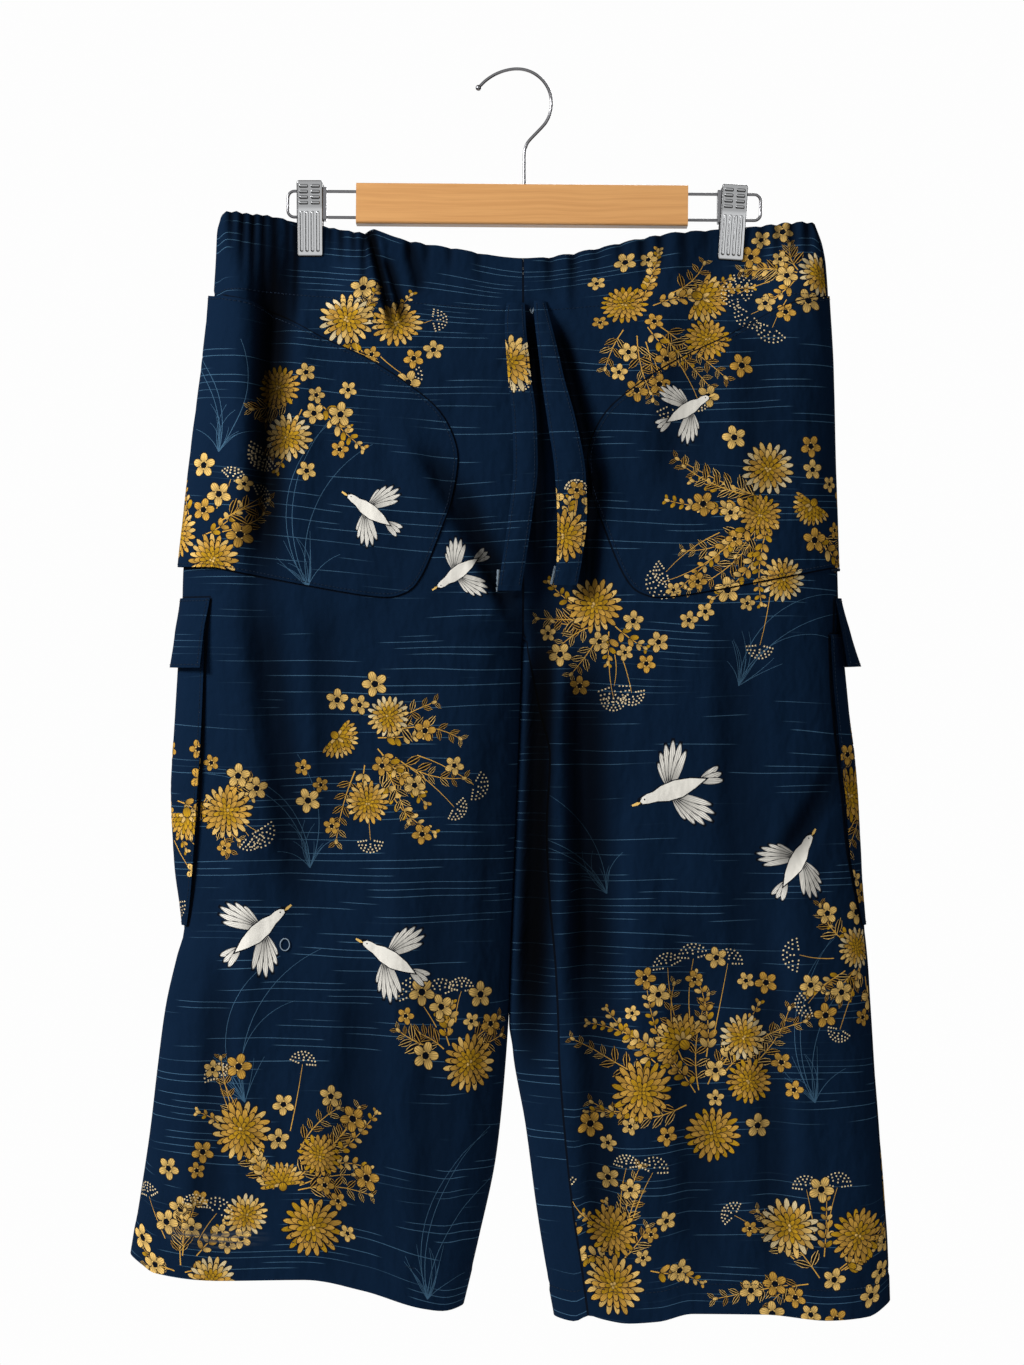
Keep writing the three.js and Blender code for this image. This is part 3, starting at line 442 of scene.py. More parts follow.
def polyline(points):
    """The same closed outline with corners kept and points no further apart than the pitch."""
    found = []
    for a, b in zip(points, np.roll(points, -1, axis=0)):
        count = max(1, math.ceil(np.linalg.norm(b - a) / PITCH))
        found += [a + (b - a) * k / count for k in range(count)]
    return np.array(found)


def panel_outline(side, face):
    beside_turn = [SEAM_TURN + SEAM_HALF, SEAM_TURN - SEAM_HALF]
    level = np.sort(np.append(np.linspace(WAIST, HEM[side], 210), beside_turn))[::-1]
    down, up = (joined(x, level) for x in seams(side, face, level))
    return polyline(np.concatenate([down, up[::-1]]))


def inside(points, outline):
    """Which points lie inside a closed outline."""
    x, y = points[:, 0], points[:, 1]
    found = np.zeros(len(points), bool)
    for (x0, y0), (x1, y1) in zip(outline, np.roll(outline, -1, axis=0)):
        if y0 != y1:
            found ^= ((y0 > y) != (y1 > y)) & (x < x0 + (y - y0) * (x1 - x0) / (y1 - y0))
    return found


def fill_grid(outline, pitch, fine=None):
    """Even grid points inside an outline, closer where fine says how and down to which level."""
    low, high = outline.min(axis=0), outline.max(axis=0)
    parts = []
    bands = [(pitch, pitch, high[1], low[1])]
    if fine is not None:
        turn = max(min(fine["down_to"], high[1]), low[1])
        bands = [(fine["across"], fine["down"], high[1], turn), (pitch, pitch, turn, low[1])]
    for across, down, top, bottom in bands:
        if top - bottom > down:
            grid = np.meshgrid(np.arange(low[0] + across / 2, high[0], across),
                               np.arange(top - down / 2, bottom, -down))
            parts.append(joined(*grid).reshape(-1, 2))
    points = np.concatenate(parts) if parts else np.zeros((0, 2))
    points = points[inside(points, outline)]
    near = np.full(len(points), np.inf)
    for a in outline:
        near = np.minimum(near, np.hypot(points[:, 0] - a[0], points[:, 1] - a[1]))
    return points[near > 1.2]


def filled(outline, pitch, fine, loops=()):
    """Flat points and triangles that fill an outline, with loops cut into them, all turning one way."""
    verts, edges = [Vector(p) for p in fill_grid(outline, pitch, fine)], []
    for loop in (outline, *loops):
        first = len(verts)
        verts += [Vector(p) for p in loop]
        edges += [(first + k, first + (k + 1) % len(loop)) for k in range(len(loop))]
    found = delaunay_2d_cdt(verts, edges, [], 0, 1e-4, False)
    flat, triangles = np.array([tuple(v) for v in found[0]]), np.array(found[2])
    triangles = triangles[inside(flat[triangles].mean(axis=1), outline)]
    a, b = (flat[triangles[:, k]] - flat[triangles[:, 0]] for k in (1, 2))
    clockwise = a[:, 0] * b[:, 1] < a[:, 1] * b[:, 0]
    triangles[clockwise] = triangles[clockwise][:, ::-1]
    return flat, triangles


def border_of(triangles):
    """Directed edges that only one triangle has."""
    edges = np.concatenate([triangles[:, [0, 1]], triangles[:, [1, 2]], triangles[:, [2, 0]]])
    keys = {(a, b) for a, b in edges.tolist()}
    return [(a, b) for a, b in keys if (b, a) not in keys]


def chain(edges):
    """The longest closed chain of directed edges."""
    after = dict(edges)
    chains = []
    while after:
        first = next(iter(after))
        loop, at = [first], after.pop(first)
        while at != first and at in after:
            loop.append(at)
            at = after.pop(at)
        chains.append(loop)
    return max(chains, key=len)


def new_object(name, vertices, faces, material):
    """A smooth mesh object from vertices in millimetres."""
    mesh = bpy.data.meshes.new(name)
    mesh.from_pydata((np.asarray(vertices, float) * MM).tolist(), [], faces)
    mesh.update()
    mesh.polygons.foreach_set("use_smooth", [True] * len(mesh.polygons))
    mesh.materials.append(material)
    obj = bpy.data.objects.new(name, mesh)
    bpy.context.scene.collection.objects.link(obj)
    return obj


def write_light(mesh, light):
    mesh.attributes.new("light", "FLOAT", "POINT").data.foreach_set("value", light.astype(np.float32).ravel())


def shell(name, outline, surface, material, shapes=(), pitch=PITCH, fine=None, thick=CLOTH, slope=0):
    """A thin closed wall of cloth over a flat outline, with the printed shapes and any painted shadow strips
    cut into its outer face.
    """
    shapes = touching(shapes, outline)
    flat, triangles = filled(outline, pitch, fine, [s["points"] for s in shapes])
    owner = owners(flat[triangles].mean(axis=1), shapes)
    loop = chain(border_of(triangles))
    low_flat, low_triangles = filled(flat[loop], pitch, fine)
    points, normals = surface(flat)
    low_points, low_normals = surface(low_flat)
    way = -1 if facing(points[triangles], normals[triangles[:, 0]]) else 1

    match = len(points) + nearest(flat[loop], low_flat)
    rim = joined(loop, match, np.roll(match, -1), np.roll(loop, -1))
    vertices = np.concatenate([points, low_points - low_normals * thick])
    faces = (triangles[:, ::way], (low_triangles + len(points))[:, ::-way], rim[:, ::way])
    obj = new_object(name, vertices, sum((part.tolist() for part in faces), []), material)
    flat = np.concatenate([flat, low_flat])
    write_light(obj.data, surface.light(flat) if hasattr(surface, "light") else np.ones(len(flat)))
    paint(obj.data, flat, owner, shapes, slope)
    obj.data.normals_split_custom_set_from_vertices(np.concatenate([normals, -low_normals]).tolist())
    return obj


def touching(shapes, outline):
    """The printed shapes that have at least one corner inside the outline."""
    if not shapes:
        return []
    within = inside(np.concatenate([s["points"] for s in shapes]), outline)
    ends = np.cumsum([len(s["points"]) for s in shapes])
    return [s for s, part in zip(shapes, np.split(within, ends[:-1])) if part.any()]


def facing(corners, normals):
    """True if most triangles face away from their normals."""
    made = np.cross(corners[:, 1] - corners[:, 0], corners[:, 2] - corners[:, 0])
    return np.einsum("ij,ij->i", made, normals).sum() < 0


def nearest(points, others):
    return np.array([np.argmin(np.hypot(*(others - p).T)) for p in points])


def owners(middles, shapes):
    """For each triangle, the last printed shape that covers it, or -1."""
    owner = np.full(len(middles), -1)
    order = np.argsort(middles[:, 1])
    levels = middles[order, 1]
    for k, shape in enumerate(shapes):
        points = shape["points"]
        low, high = points.min(axis=0), points.max(axis=0)
        near = order[np.searchsorted(levels, low[1]):np.searchsorted(levels, high[1])]
        near = near[(middles[near, 0] > low[0]) & (middles[near, 0] < high[0])]
        if len(near):
            owner[near[inside(middles[near], points)]] = k
    return owner


def paint(mesh, flat, owner, shapes, slope):
    """Writes each corner's ink, its place in its petal and its place on the flat cloth."""
    at = np.zeros(len(mesh.loops), int)
    mesh.loops.foreach_get("vertex_index", at)
    cloth, top = flat[at], slice(3 * len(owner))
    ink, petal = np.zeros((len(at), 4)), np.zeros((len(at), 2))
    if shapes:
        inks = np.array([s["ink"] for s in shapes] + [(0, 0, 0, 0)])
        frames = np.array([s["frame"] for s in shapes] + [NO_FRAME])
        ink[top] = np.repeat(inks[owner], 3, axis=0)
        x0, y0, ax, ay, half_length, half_width = np.repeat(frames[owner], 3, axis=0).T
        dx, dy = cloth[top, 0] - x0, cloth[top, 1] - y0
        petal[top] = joined((dx * ax + dy * ay) / half_length, (dy * ax - dx * ay) / half_width)
    cloth = cloth * MM
    cloth[:, 1] += slope * cloth[:, 0]
    colors = mesh.attributes.new("ink", "FLOAT_COLOR", "CORNER").data
    colors.foreach_set("color", ink.astype(np.float32).ravel())
    for layer, values in (("cloth", cloth), ("petal", petal)):
        mesh.uv_layers.new(name=layer).uv.foreach_set("vector", values.astype(np.float32).ravel())


# Patches: front edges seen from the front, and how far each patch stands off what is under it
HIP_EDGE = rows("x z", (-240, -176), (-199, -186), (-152, -211), (-116, -228), (-86, -247), (-60, -269),
    (-47, -296), (-47.5, -322), (-56, -352), (-73, -394), (-88, -409), (-114, -410.5), (-185, -398),
    (-232, -388.5))
HIP = {"top": -176, "bottom": -386, "back_width": 62}
HIP_SLACK = {
    "right": rows("s lift", (-60, 0), (-14, 3.2), (14, 3.4), (34, 2.4), (62, 0.2), (90, 0)),
    "left": rows("s lift", (-40, 0), (0, 0.5), (40, 0)),
}
CARGO_EDGE = {
    "right": rows("z x lift", (-430, -240.5, 0.4), (-470, -241, 1.4), (-520, -242.5, 2.8), (-565, -245, 3.7),
        (-610, -248, 3.2), (-645, -251.5, 1.8), (-680, -257.5, 0.2)),
    "left": rows("z x lift", (-430, 241.5, 0.4), (-470, 242.5, 2.0), (-515, 246, 3.0), (-560, 251, 3.2),
        (-605, 255.5, 2.0), (-640, 262, 0.8), (-680, 271, 0.2)),
}
CARGO = {"top": -440, "bottom": -666, "back_width": 104}
FLAP_EDGE = {
    "right": rows("z x lift", (-405, -235.2, 0), (-440, -239.5, 1.4), (-475, -241, 5.2)),
    "left": rows("z x lift", (-405, 246, 0), (-440, 245.5, 5), (-475, 245, 12.5)),
}
FLAP = {"top": -412, "bottom": -466, "back_width": 108}
SLACK_FADE = {"from": -90, "over": 70}
POCKET_WALL = 2.0


def level_of(side, s, z):
    """The level at which a line at distance s round the section reaches height z."""
    level = np.array(z, float)
    for _ in range(8):
        level = level - (place(side, s, level)[..., 2] - z)
    return level


def front_place(side, x, z):
    """Flat place of a point seen from the front."""
    level = np.array(z, float)
    for _ in range(8):
        s = crossing(side, level, x)
        level = level - (place(side, s, level)[..., 2] - z)
    return s, level


def spline(x, z, steps):
    """A smooth curve through points seen from the front."""
    points, t = joined(x, z), (np.arange(steps) / steps)[:, None]
    padded = np.concatenate([points[:1], points, points[-1:]])
    found = [0.5 * ((2 * b) + (c - a) * t + (2 * a - 5 * b + 4 * c - d) * t ** 2
                    + (3 * b - a - 3 * c + d) * t ** 3)
             for a, b, c, d in zip(padded, padded[1:], padded[2:], padded[3:])]
    return np.concatenate([*found, points[-1:]]).T


def patch_outline(side, size, x, z):
    """Outline of a patch that wraps the side, from its front edge, top to bottom, seen from the front."""
    s, level = front_place(side, x, z)
    fold = outer_fold(side, (size["top"] + size["bottom"]) / 2)
    near = fold + WAY[side] * size["back_width"]
    back_z = np.linspace(size["bottom"], size["top"], 40)
    back_s = -crossing(side, back_z, near)
    back_level = level_of(side, back_s, back_z)
    under = np.linspace(s[-1], back_s[0], 40)[1:-1]
    under_level = level_of(side, under, np.linspace(z[-1], size["bottom"], 38))
    over = np.linspace(back_s[-1], s[0], 40)[1:-1]
    over_level = level_of(side, over, np.full(38, size["top"]))
    s = np.concatenate([s, under, back_s, over])
    level = np.concatenate([level, under_level, back_level, over_level])
    return polyline(flat_place(side, s, level))


def cargo_slack(edge, s, level):
    return along(edge, "lift", level) * smooth((s - SLACK_FADE["from"]) / SLACK_FADE["over"])


def hip_lift(side, s, level):
    return GAP + CLOTH + along(HIP_SLACK[side], "lift", s)


def pocket_lift(side, s, level):
    return GAP + CLOTH + cargo_slack(CARGO_EDGE[side], s, level)


def flap_lift(side, s, level):
    over = (POCKET_WALL + GAP) * smooth((FLAP["top"] - level) / (FLAP["top"] - CARGO["top"]))
    return pocket_lift(side, s, level) + over + cargo_slack(FLAP_EDGE[side], s, level)


# The middle line of each tie, with how far it stands off the front
TIES = {
    "right": rows("level x stand width", (-166, -1, 0.2, 14), (-190, -1.5, 4, 16), (-240, 1.5, 9, 17.5),
        (-275, 5.5, 11, 18.5), (-312, 6.5, 12, 18.5), (-350, 2.5, 11, 18), (-385, -2.5, 9, 18),
        (-407, -6, 8, 18)),
    "left": rows("level x stand width", (-164, 17.5, 0.2, 9), (-190, 19.5, 4, 12), (-240, 26.5, 10, 17),
        (-280, 34.5, 13, 22), (-318, 40.5, 14, 23.5), (-352, 42, 13, 22.5), (-382, 40, 11, 19.5),
        (-403, 37, 10, 18)),
}
TIE_WALL = 1.6
TIE_CROWN = 1.2


def tie_surface(side):
    """Maps flat places on a tie, X across from its middle line and level down, to points."""
    table = TIES[side]

    def points_at(flat):
        level = flat[:, 1]
        middle = along(table, "x", level)
        width = along(table, "width", level)
        base = np.zeros((len(flat), 3))
        for under, chosen in (("right", middle < CENTRE), ("left", middle >= CENTRE)):
            if chosen.any():
                s = crossing(under, level[chosen], middle[chosen])
                base[chosen] = place(under, s, level[chosen])
        across = flat[:, 0] / width
        crown = TIE_CROWN * (1 - 4 * across ** 2)
        y = base[:, 1] - GAP - TIE_WALL - along(table, "stand", level) - crown
        return joined(middle + flat[:, 0], y, base[:, 2])

    def surface(flat):
        across = points_at(flat + [PROBE / 2, 0]) - points_at(flat - [PROBE / 2, 0])
        up = points_at(flat + [0, PROBE]) - points_at(flat - [0, PROBE])
        return points_at(flat), unit(np.cross(across, up))

    return surface


def tie_outline(side):
    table = TIES[side]
    level = np.linspace(table["level"][0], table["level"][-1], 60)
    half = along(table, "width", level) / 2
    edge = np.concatenate([joined(half, level), joined(-half, level)[::-1]])
    return polyline(edge)


# Printed cloth: a plain design of round flowers, blossoms, leafy sprays, seed heads, grass and white birds.
# Each printed shape has its outline on the flat cloth, its ink, and a frame along its own length.
# The ink's last number is its kind: petals have veins and dark edges, leaves are only drawn round.
GOLD = (0.600, 0.330, 0.055)
PALE_GOLD = (0.780, 0.500, 0.150)
CREAM_GOLD = (0.760, 0.600, 0.330)
OCHRE = (0.520, 0.285, 0.014)
CREAM = (0.800, 0.770, 0.700)
SEED = (0.700, 0.560, 0.330)
STEEL_BLUE = (0.046, 0.108, 0.178)
# DEEP is the print's dark ink, and also the colour of the painted seam and patch shadows.
DEEP = (0.003, 0.005, 0.010)
PETAL, LEAF, PLAIN = 1.0, 0.7, 0.4
NO_FRAME = (0, 0, 1, 0, 1, 1)


def placed(at, angle, half_length, half_width, p, q, ink, kind):
    """A printed shape from its own normal corners p and q, turned and set on the cloth."""
    points = np.stack(turned(half_length * np.asarray(p), half_width * np.asarray(q), angle), axis=1) + at
    return {"points": points, "ink": (*ink, kind), "frame": (*at, *toward(angle), half_length, half_width)}


def oval(at, angle, half_length, half_width, ink, kind=PETAL, sides=7):
    turn = 2 * math.pi * (np.arange(sides) + 0.5) / sides
    return placed(at, angle, half_length, half_width, np.cos(turn), np.sin(turn), ink, kind)


LENS = rows("p q", (-1, 0), (-0.55, 0.7), (0.05, 1), (0.6, 0.64), (1, 0), (0.6, -0.64), (0.05, -1),
    (-0.55, -0.7))


def leaf(at, angle, length, width, ink):
    """A pointed leaf that starts at a place and is only drawn round, with a rib."""
    middle = at + length / 2 * toward(angle)
    return placed(middle, angle, length / 2, width / 2, LENS["p"], LENS["q"], ink, LEAF)


def strip(path, width, ink, end=0.45):
    """A thin line along a path, narrowed to a share of its width at its end."""
    path = np.asarray(path, float)
    half = sideways(path) * (np.linspace(1, end, len(path))[:, None] * width / 2)
    points = np.concatenate([path + half, (path - half)[::-1]])
    return {"points": points, "ink": (*ink, PLAIN), "frame": NO_FRAME}


def arc(at, angle, bend, length, count=6):
    """A path that starts at an angle and turns evenly by bend."""
    turn = angle + bend * np.linspace(0, 1, count)[:-1]
    steps = joined(np.cos(turn), np.sin(turn)) * (length / (count - 1))
    return np.concatenate([[at], at + np.cumsum(steps, axis=0)])


def tint(rng, *inks):
    """One of the inks, a little lighter or darker."""
    return tuple(np.array(rng.choice(inks)) * rng.uniform(0.8, 1.15))


# Rings of petals from the outside in: how many, then reach, half length and half width
# as shares of the flower's radius
ROUND_FLOWER = [(19, 0.71, 0.29, 0.105), (16, 0.52, 0.24, 0.10), (12, 0.34, 0.19, 0.09),
    (8, 0.18, 0.14, 0.07), (4, 0.06, 0.08, 0.055)]
HALF_FLOWER = [(14, 0.66, 0.34, 0.095), (11, 0.50, 0.28, 0.095), (8, 0.34, 0.24, 0.09), (5, 0.22, 0.18, 0.08)]


def ring(rng, at, radius, row, angles, inks):
    """One ring of petals, at angles round a middle."""
    _, reach, length, width = row
    shapes = []
    for angle in angles:
        spot = at + radius * reach * rng.uniform(0.94, 1.06) * toward(angle)
        lean = angle + rng.uniform(-0.16, 0.16)
        shapes.append(oval(spot, lean, radius * length, radius * width, tint(rng, *inks)))
    return shapes


def round_flower(rng, at, radius):
    shapes = [oval(at, 0, 0.8 * radius, 0.8 * radius, DEEP, PLAIN, 14)]
    tips = rng.choice([(PALE_GOLD, GOLD), (CREAM_GOLD, PALE_GOLD), (OCHRE, GOLD)])
    inks = [tips, (GOLD, tips[1]), (OCHRE, OCHRE, GOLD), (OCHRE, OCHRE), (PALE_GOLD, OCHRE)]
    for row, ink in zip(ROUND_FLOWER, inks):
        angles = rng.uniform(0, 6.28) + 2 * math.pi * np.arange(row[0]) / row[0]
        shapes += ring(rng, at, radius, row, angles, ink)
    return shapes


def half_flower(rng, at, radius, faces):
    """A flower seen from the side, opening the way that it faces."""
    shapes = []
    inks = [(GOLD, PALE_GOLD), (OCHRE, GOLD), (OCHRE, OCHRE), (OCHRE, PALE_GOLD)]
    for row, ink in zip(HALF_FLOWER, inks):
        shapes += ring(rng, at, radius, row, faces + math.radians(92) * np.linspace(-1, 1, row[0]), ink)
    base = at - 0.1 * radius * toward(faces)
    return shapes + [oval(base, faces, 0.22 * radius, 0.2 * radius, tint(rng, OCHRE))]


def blossom(rng, at, radius):
    turns = rng.uniform(0, 6.28) + math.pi / 5 * np.arange(10)
    ink = tint(rng, GOLD, PALE_GOLD, PALE_GOLD)
    petals = [oval(at + 0.56 * radius * toward(turn), turn, 0.46 * radius, 0.36 * radius, ink)
              for turn in turns[::2]]
    dots = [oval(at + 0.28 * radius * toward(turn), 0, 0.6, 0.6, PALE_GOLD, PLAIN, 4) for turn in turns[1::2]]
    return petals + [oval(at, 0, 0.26 * radius, 0.26 * radius, DEEP, PLAIN)] + dots


def spray(rng, at, angle, length, size=4.4, drawn=False):
    """A bending stem with leaves on both sides, smaller toward its tip, filled or only drawn round."""
    bend = rng.uniform(-0.9, 0.9)
    steps = max(4, int(length / (9 if drawn else 6.5)))
    path = arc(at, angle, bend, length, steps + 1)
    shapes = [strip(path, 0.9, GOLD)]
    for k in range(1, steps + 1):
        reach = size * (1.15 - 0.6 * k / steps) * rng.uniform(0.85, 1.15)
        for hand in (-1, 1):
            lean = angle + bend * k / steps + hand * rng.uniform(0.6, 1.1)
            if drawn:
                shapes.append(leaf(path[k], lean, 2.8 * reach, 1.2 * reach, tint(rng, GOLD, PALE_GOLD)))
            else:
                spot = path[k] + reach * toward(lean)
                shapes.append(oval(spot, lean, reach, reach * 0.58, tint(rng, GOLD, PALE_GOLD, OCHRE)))
    return shapes + [oval(path[-1], angle + bend, size * 0.6, size * 0.34, tint(rng, PALE_GOLD))]


# Rings of dots in the head of a seed stem: how many, and how far out as a share of its size
HEAD_DOTS = [(3, 0.34), (5, 0.56), (8, 0.78), (11, 1.0)]


def seed_head(rng, at, angle, stem, size):
    """A thin stem with a dome of separate small dots."""
    path = arc(at, angle, rng.uniform(-0.5, 0.5), stem)
    shapes = [strip(path, 0.7, GOLD)]
    for count, reach in HEAD_DOTS:
        for turn in angle + math.radians(80) * np.linspace(-1, 1, count):
            spot = path[-1] + size * reach * toward(turn)
            shapes.append(oval(spot, 0, 0.8, 0.8, tint(rng, SEED), PLAIN, 4))
    return shapes


def grass(rng, at, lean, count=10, length=40):
    """A tuft of fine blades and three long bending ones."""
    blades = [(rng.uniform(-0.7, 0.7), rng.uniform(-1.3, 1.3), rng.uniform(0.5, 1.1), 9, 0.5)
              for _ in range(count)]
    hand = rng.choice((-1, 1))
    blades += [(hand * rng.uniform(-0.1, 0.5), hand * rng.uniform(-1.9, -1.0), rng.uniform(2.2, 3.6),
                18, 0.55) for _ in range(3)]
    return [strip(arc(at, lean + turn, bend, length * share, steps), width, STEEL_BLUE)
            for turn, bend, share, steps, width in blades]


# A plain bird in shares of its size: the feathers of each wing, then its body, head and tail in one outline
WING = [(0.98, 0.60), (0.82, 0.78), (0.66, 0.92), (0.50, 1.0), (0.34, 0.96), (0.18, 0.84)]
BODY = [(-0.40, 0.00), (-0.22, 0.075), (-0.02, 0.115), (0.16, 0.105), (0.27, 0.07), (0.35, 0.072),
    (0.42, 0.055), (0.46, 0.015), (0.44, -0.025), (0.36, -0.045), (0.26, -0.055), (0.12, -0.10),
    (-0.06, -0.11), (-0.24, -0.06)]


def bird(at, angle, size, mirrored):
    """A small short-necked white bird with both wings open."""
    hand = -1 if mirrored else 1
    shapes = []

    def spot(u, v):
        return at + size * np.array(turned(u, hand * v, angle))

    def feather(u, v, lean, reach):
        way = angle + lean * hand
        shapes.append(oval(spot(u, v) + reach * toward(way), way, reach, 0.05 * size, CREAM))

    for lean in (2.84, 3.14, 3.44):
        feather(-0.3, 0, lean, 0.17 * size)
    for wing, lift in ((1, 0.62), (-1, 0.30)):
        for turn, reach in WING:
            feather(0.06, wing * 0.02, wing * (2.9 - turn - lift * 0.7), 0.34 * size * reach)
    for spread, ink in ((1.12, DEEP), (1.0, CREAM)):
        corners = np.array([spot(spread * u, spread * v) for u, v in BODY])
        shapes.append({"points": corners, "ink": (*ink, PLAIN), "frame": NO_FRAME})
    shapes.append(oval(spot(0.52, 0.0), angle, 0.065 * size, 0.02 * size, PALE_GOLD, PLAIN, 5))
    shapes.append(oval(spot(0.40, 0.02), angle, 0.012 * size, 0.012 * size, DEEP, PLAIN, 5))
    return shapes


def bouquet(seed, x, y, reach, lean, flowers, blossoms, sprays):
    """Flowers and blossoms round a middle, with sprays and seed heads that reach out the way it leans."""
    rng = random.Random(seed)
    middle, lean = np.array([x, y]), math.radians(lean)
    taken, shapes = [], []

    def room(radius, spread):
        for _ in range(60):
            turn, far = rng.uniform(0, 6.28), reach * spread * math.sqrt(rng.random())
            at = middle + far * (toward(turn) + 0.35 * toward(lean))
            if all(math.hypot(*(at - other)) > 0.86 * (radius + r) for other, r in taken):
                taken.append((at, radius))
                return at
        return None

    for k in range(int(1.4 * sprays)):
        turn = lean + rng.uniform(-1.7, 1.7)
        start = middle + reach * rng.uniform(0.05, 0.5) * toward(turn)
        shapes += spray(rng, start, turn, reach * rng.uniform(0.5, 0.95), drawn=k % 2 == 0)
    for _ in range(3):
        turn = lean + rng.uniform(-0.9, 0.9)
        shapes += seed_head(rng, middle + 0.6 * reach * toward(turn), turn, reach * rng.uniform(0.5, 0.75),
                            rng.uniform(9, 13))
    for k in range(flowers):
        radius = rng.uniform(17, 25)
        at = room(radius, 0.62)
        if at is not None and k % 3 == 2:
            shapes += half_flower(rng, at, radius, lean + rng.uniform(-0.5, 0.5))
        elif at is not None:
            shapes += round_flower(rng, at, radius)
    for _ in range(blossoms):
        radius = rng.uniform(6.5, 11)
        at = room(radius, 1.0)
        if at is not None:
            shapes += blossom(rng, at, radius)
    return shapes


# Bouquets on the flat cloth: seed, x, y, reach, lean in degrees, and how many flowers, blossoms and sprays.
# Birds have x, y, angle, size and whether they are mirrored, and grasses have x, y and lean.
BOUQUETS = {
    "front_right": [(3, -118, -206, 50, 330, 2, 9, 6), (5, -104, -520, 66, 300, 3, 12, 8),
        (7, -226, -560, 40, 270, 1, 8, 5), (8, -176, -872, 84, 95, 5, 16, 10),
        (21, -40, -760, 40, 100, 1, 7, 5), (22, -250, -934, 46, 80, 1, 8, 5)],
    "front_left": [(11, 84, -186, 72, 330, 3, 12, 8), (12, 190, -340, 84, 240, 4, 16, 9),
        (16, 214, -160, 40, 200, 1, 8, 4), (14, 132, -800, 88, 110, 5, 16, 10),
        (17, 70, -920, 56, 80, 2, 10, 6), (18, 60, -430, 44, 250, 1, 8, 5),
        (19, 226, -936, 62, 100, 2, 12, 7), (20, 262, -690, 44, 200, 1, 8, 5)],
    "back_right": [(31, -440, -230, 90, 250, 4, 14, 9), (32, -330, -560, 76, 300, 3, 12, 8),
        (33, -470, -880, 86, 90, 4, 13, 9), (34, -310, -900, 60, 60, 2, 8, 5)],
    "back_left": [(41, 300, -210, 82, 240, 3, 13, 9), (42, 430, -470, 80, 200, 3, 13, 8),
        (43, 330, -890, 84, 80, 4, 13, 9), (44, 490, -860, 70, 110, 3, 10, 7)],
    "hip_pocket_right": [(51, -150, -256, 46, 250, 2, 7, 5), (52, -236, -366, 46, 80, 2, 7, 5)],
    "cargo_right": [(61, -285, -560, 80, 270, 3, 14, 10)],
    "cargo_left": [(63, 290, -540, 80, 270, 3, 14, 10)],
    "tie_right": [(71, 0, -220, 20, 270, 1, 3, 2)],
    "tie_left": [(72, 0, -360, 22, 90, 1, 3, 2)],
}
BIRDS = {
    "front_right": [(-190, -670, 40, 58, 0), (-88, -690, 150, 54, 1), (-34, -392, 215, 44, 0)],
    "front_left": [(112, -560, 200, 62, 1), (206, -616, 60, 52, 0), (120, -268, 30, 44, 0)],
    "back_right": [(-380, -420, 120, 60, 0), (-430, -640, 40, 58, 1)],
    "back_left": [(360, -640, 60, 60, 0), (470, -330, 150, 54, 1)],
    "hip_pocket_right": [(-102, -346, 145, 46, 1)],
}
GRASSES = {
    "front_right": [(-150, -620, 95), (-60, -930, 85), (-200, -800, 100)],
    "front_left": [(60, -640, 120), (220, -800, 100), (160, -480, 60)],
    "back_right": [(-400, -520, 95), (-350, -760, 70), (-450, -760, 100)],
    "back_left": [(400, -620, 95), (350, -360, 120), (440, -740, 80)],
    "hip_pocket_right": [(-218, -300, 80), (-150, -404, 100)],
}


GRASS_SEED = 90


def printed(name):
    """All the printed shapes of one layout."""
    shapes = []
    for k, (x, y, lean) in enumerate(GRASSES.get(name, ())):
        shapes += grass(random.Random(GRASS_SEED + k), (x, y), math.radians(lean))
    for entry in BOUQUETS.get(name, ()):
        shapes += bouquet(*entry)
    for x, y, angle, size, mirrored in BIRDS.get(name, ()):
        shapes += bird((x, y), math.radians(angle), size, mirrored)
    return shapes


# Materials
def principled(name, color, **settings):
    material = bpy.data.materials.new(name)
    material.use_nodes = True
    shader = material.node_tree.nodes["Principled BSDF"]
    shader.inputs["Base Color"].default_value = (*color, 1)
    for socket, value in settings.items():
        shader.inputs[socket.replace("_", " ")].default_value = value
    return material


NAVY = (0.0026, 0.0100, 0.0265)
WORN = (0.040, 0.055, 0.080)
STEEL = (0.66, 0.67, 0.68)
WIRE_STEEL = (0.22, 0.22, 0.23)
MAPLE = (0.70, 0.35, 0.115)
MAPLE_GRAIN = (0.60, 0.28, 0.084)


class Value:
    """One output of a shader node. Sums and products of values are Math nodes."""

    def __init__(self, nodes, socket):
        self.nodes, self.socket = nodes, socket

    def math(self, operation, *others):
        return self.nodes.add("Math", self, *others, operation=operation)

    def __add__(self, other):
        return self.math("ADD", other)

    def __mul__(self, other):
        return self.math("MULTIPLY", other)

    def __truediv__(self, other):
        return self.math("DIVIDE", other)

    def __sub__(self, other):
        return self.math("SUBTRACT", other)

    def __rsub__(self, other):
        return self.nodes.add("Math", other, self, operation="SUBTRACT")

    def ramp(self, start, end):
        """0 up to start, 1 from end, and smooth between."""
        return self.nodes.add("MapRange", self, start, end, 0.0, 1.0, interpolation_type="SMOOTHSTEP")


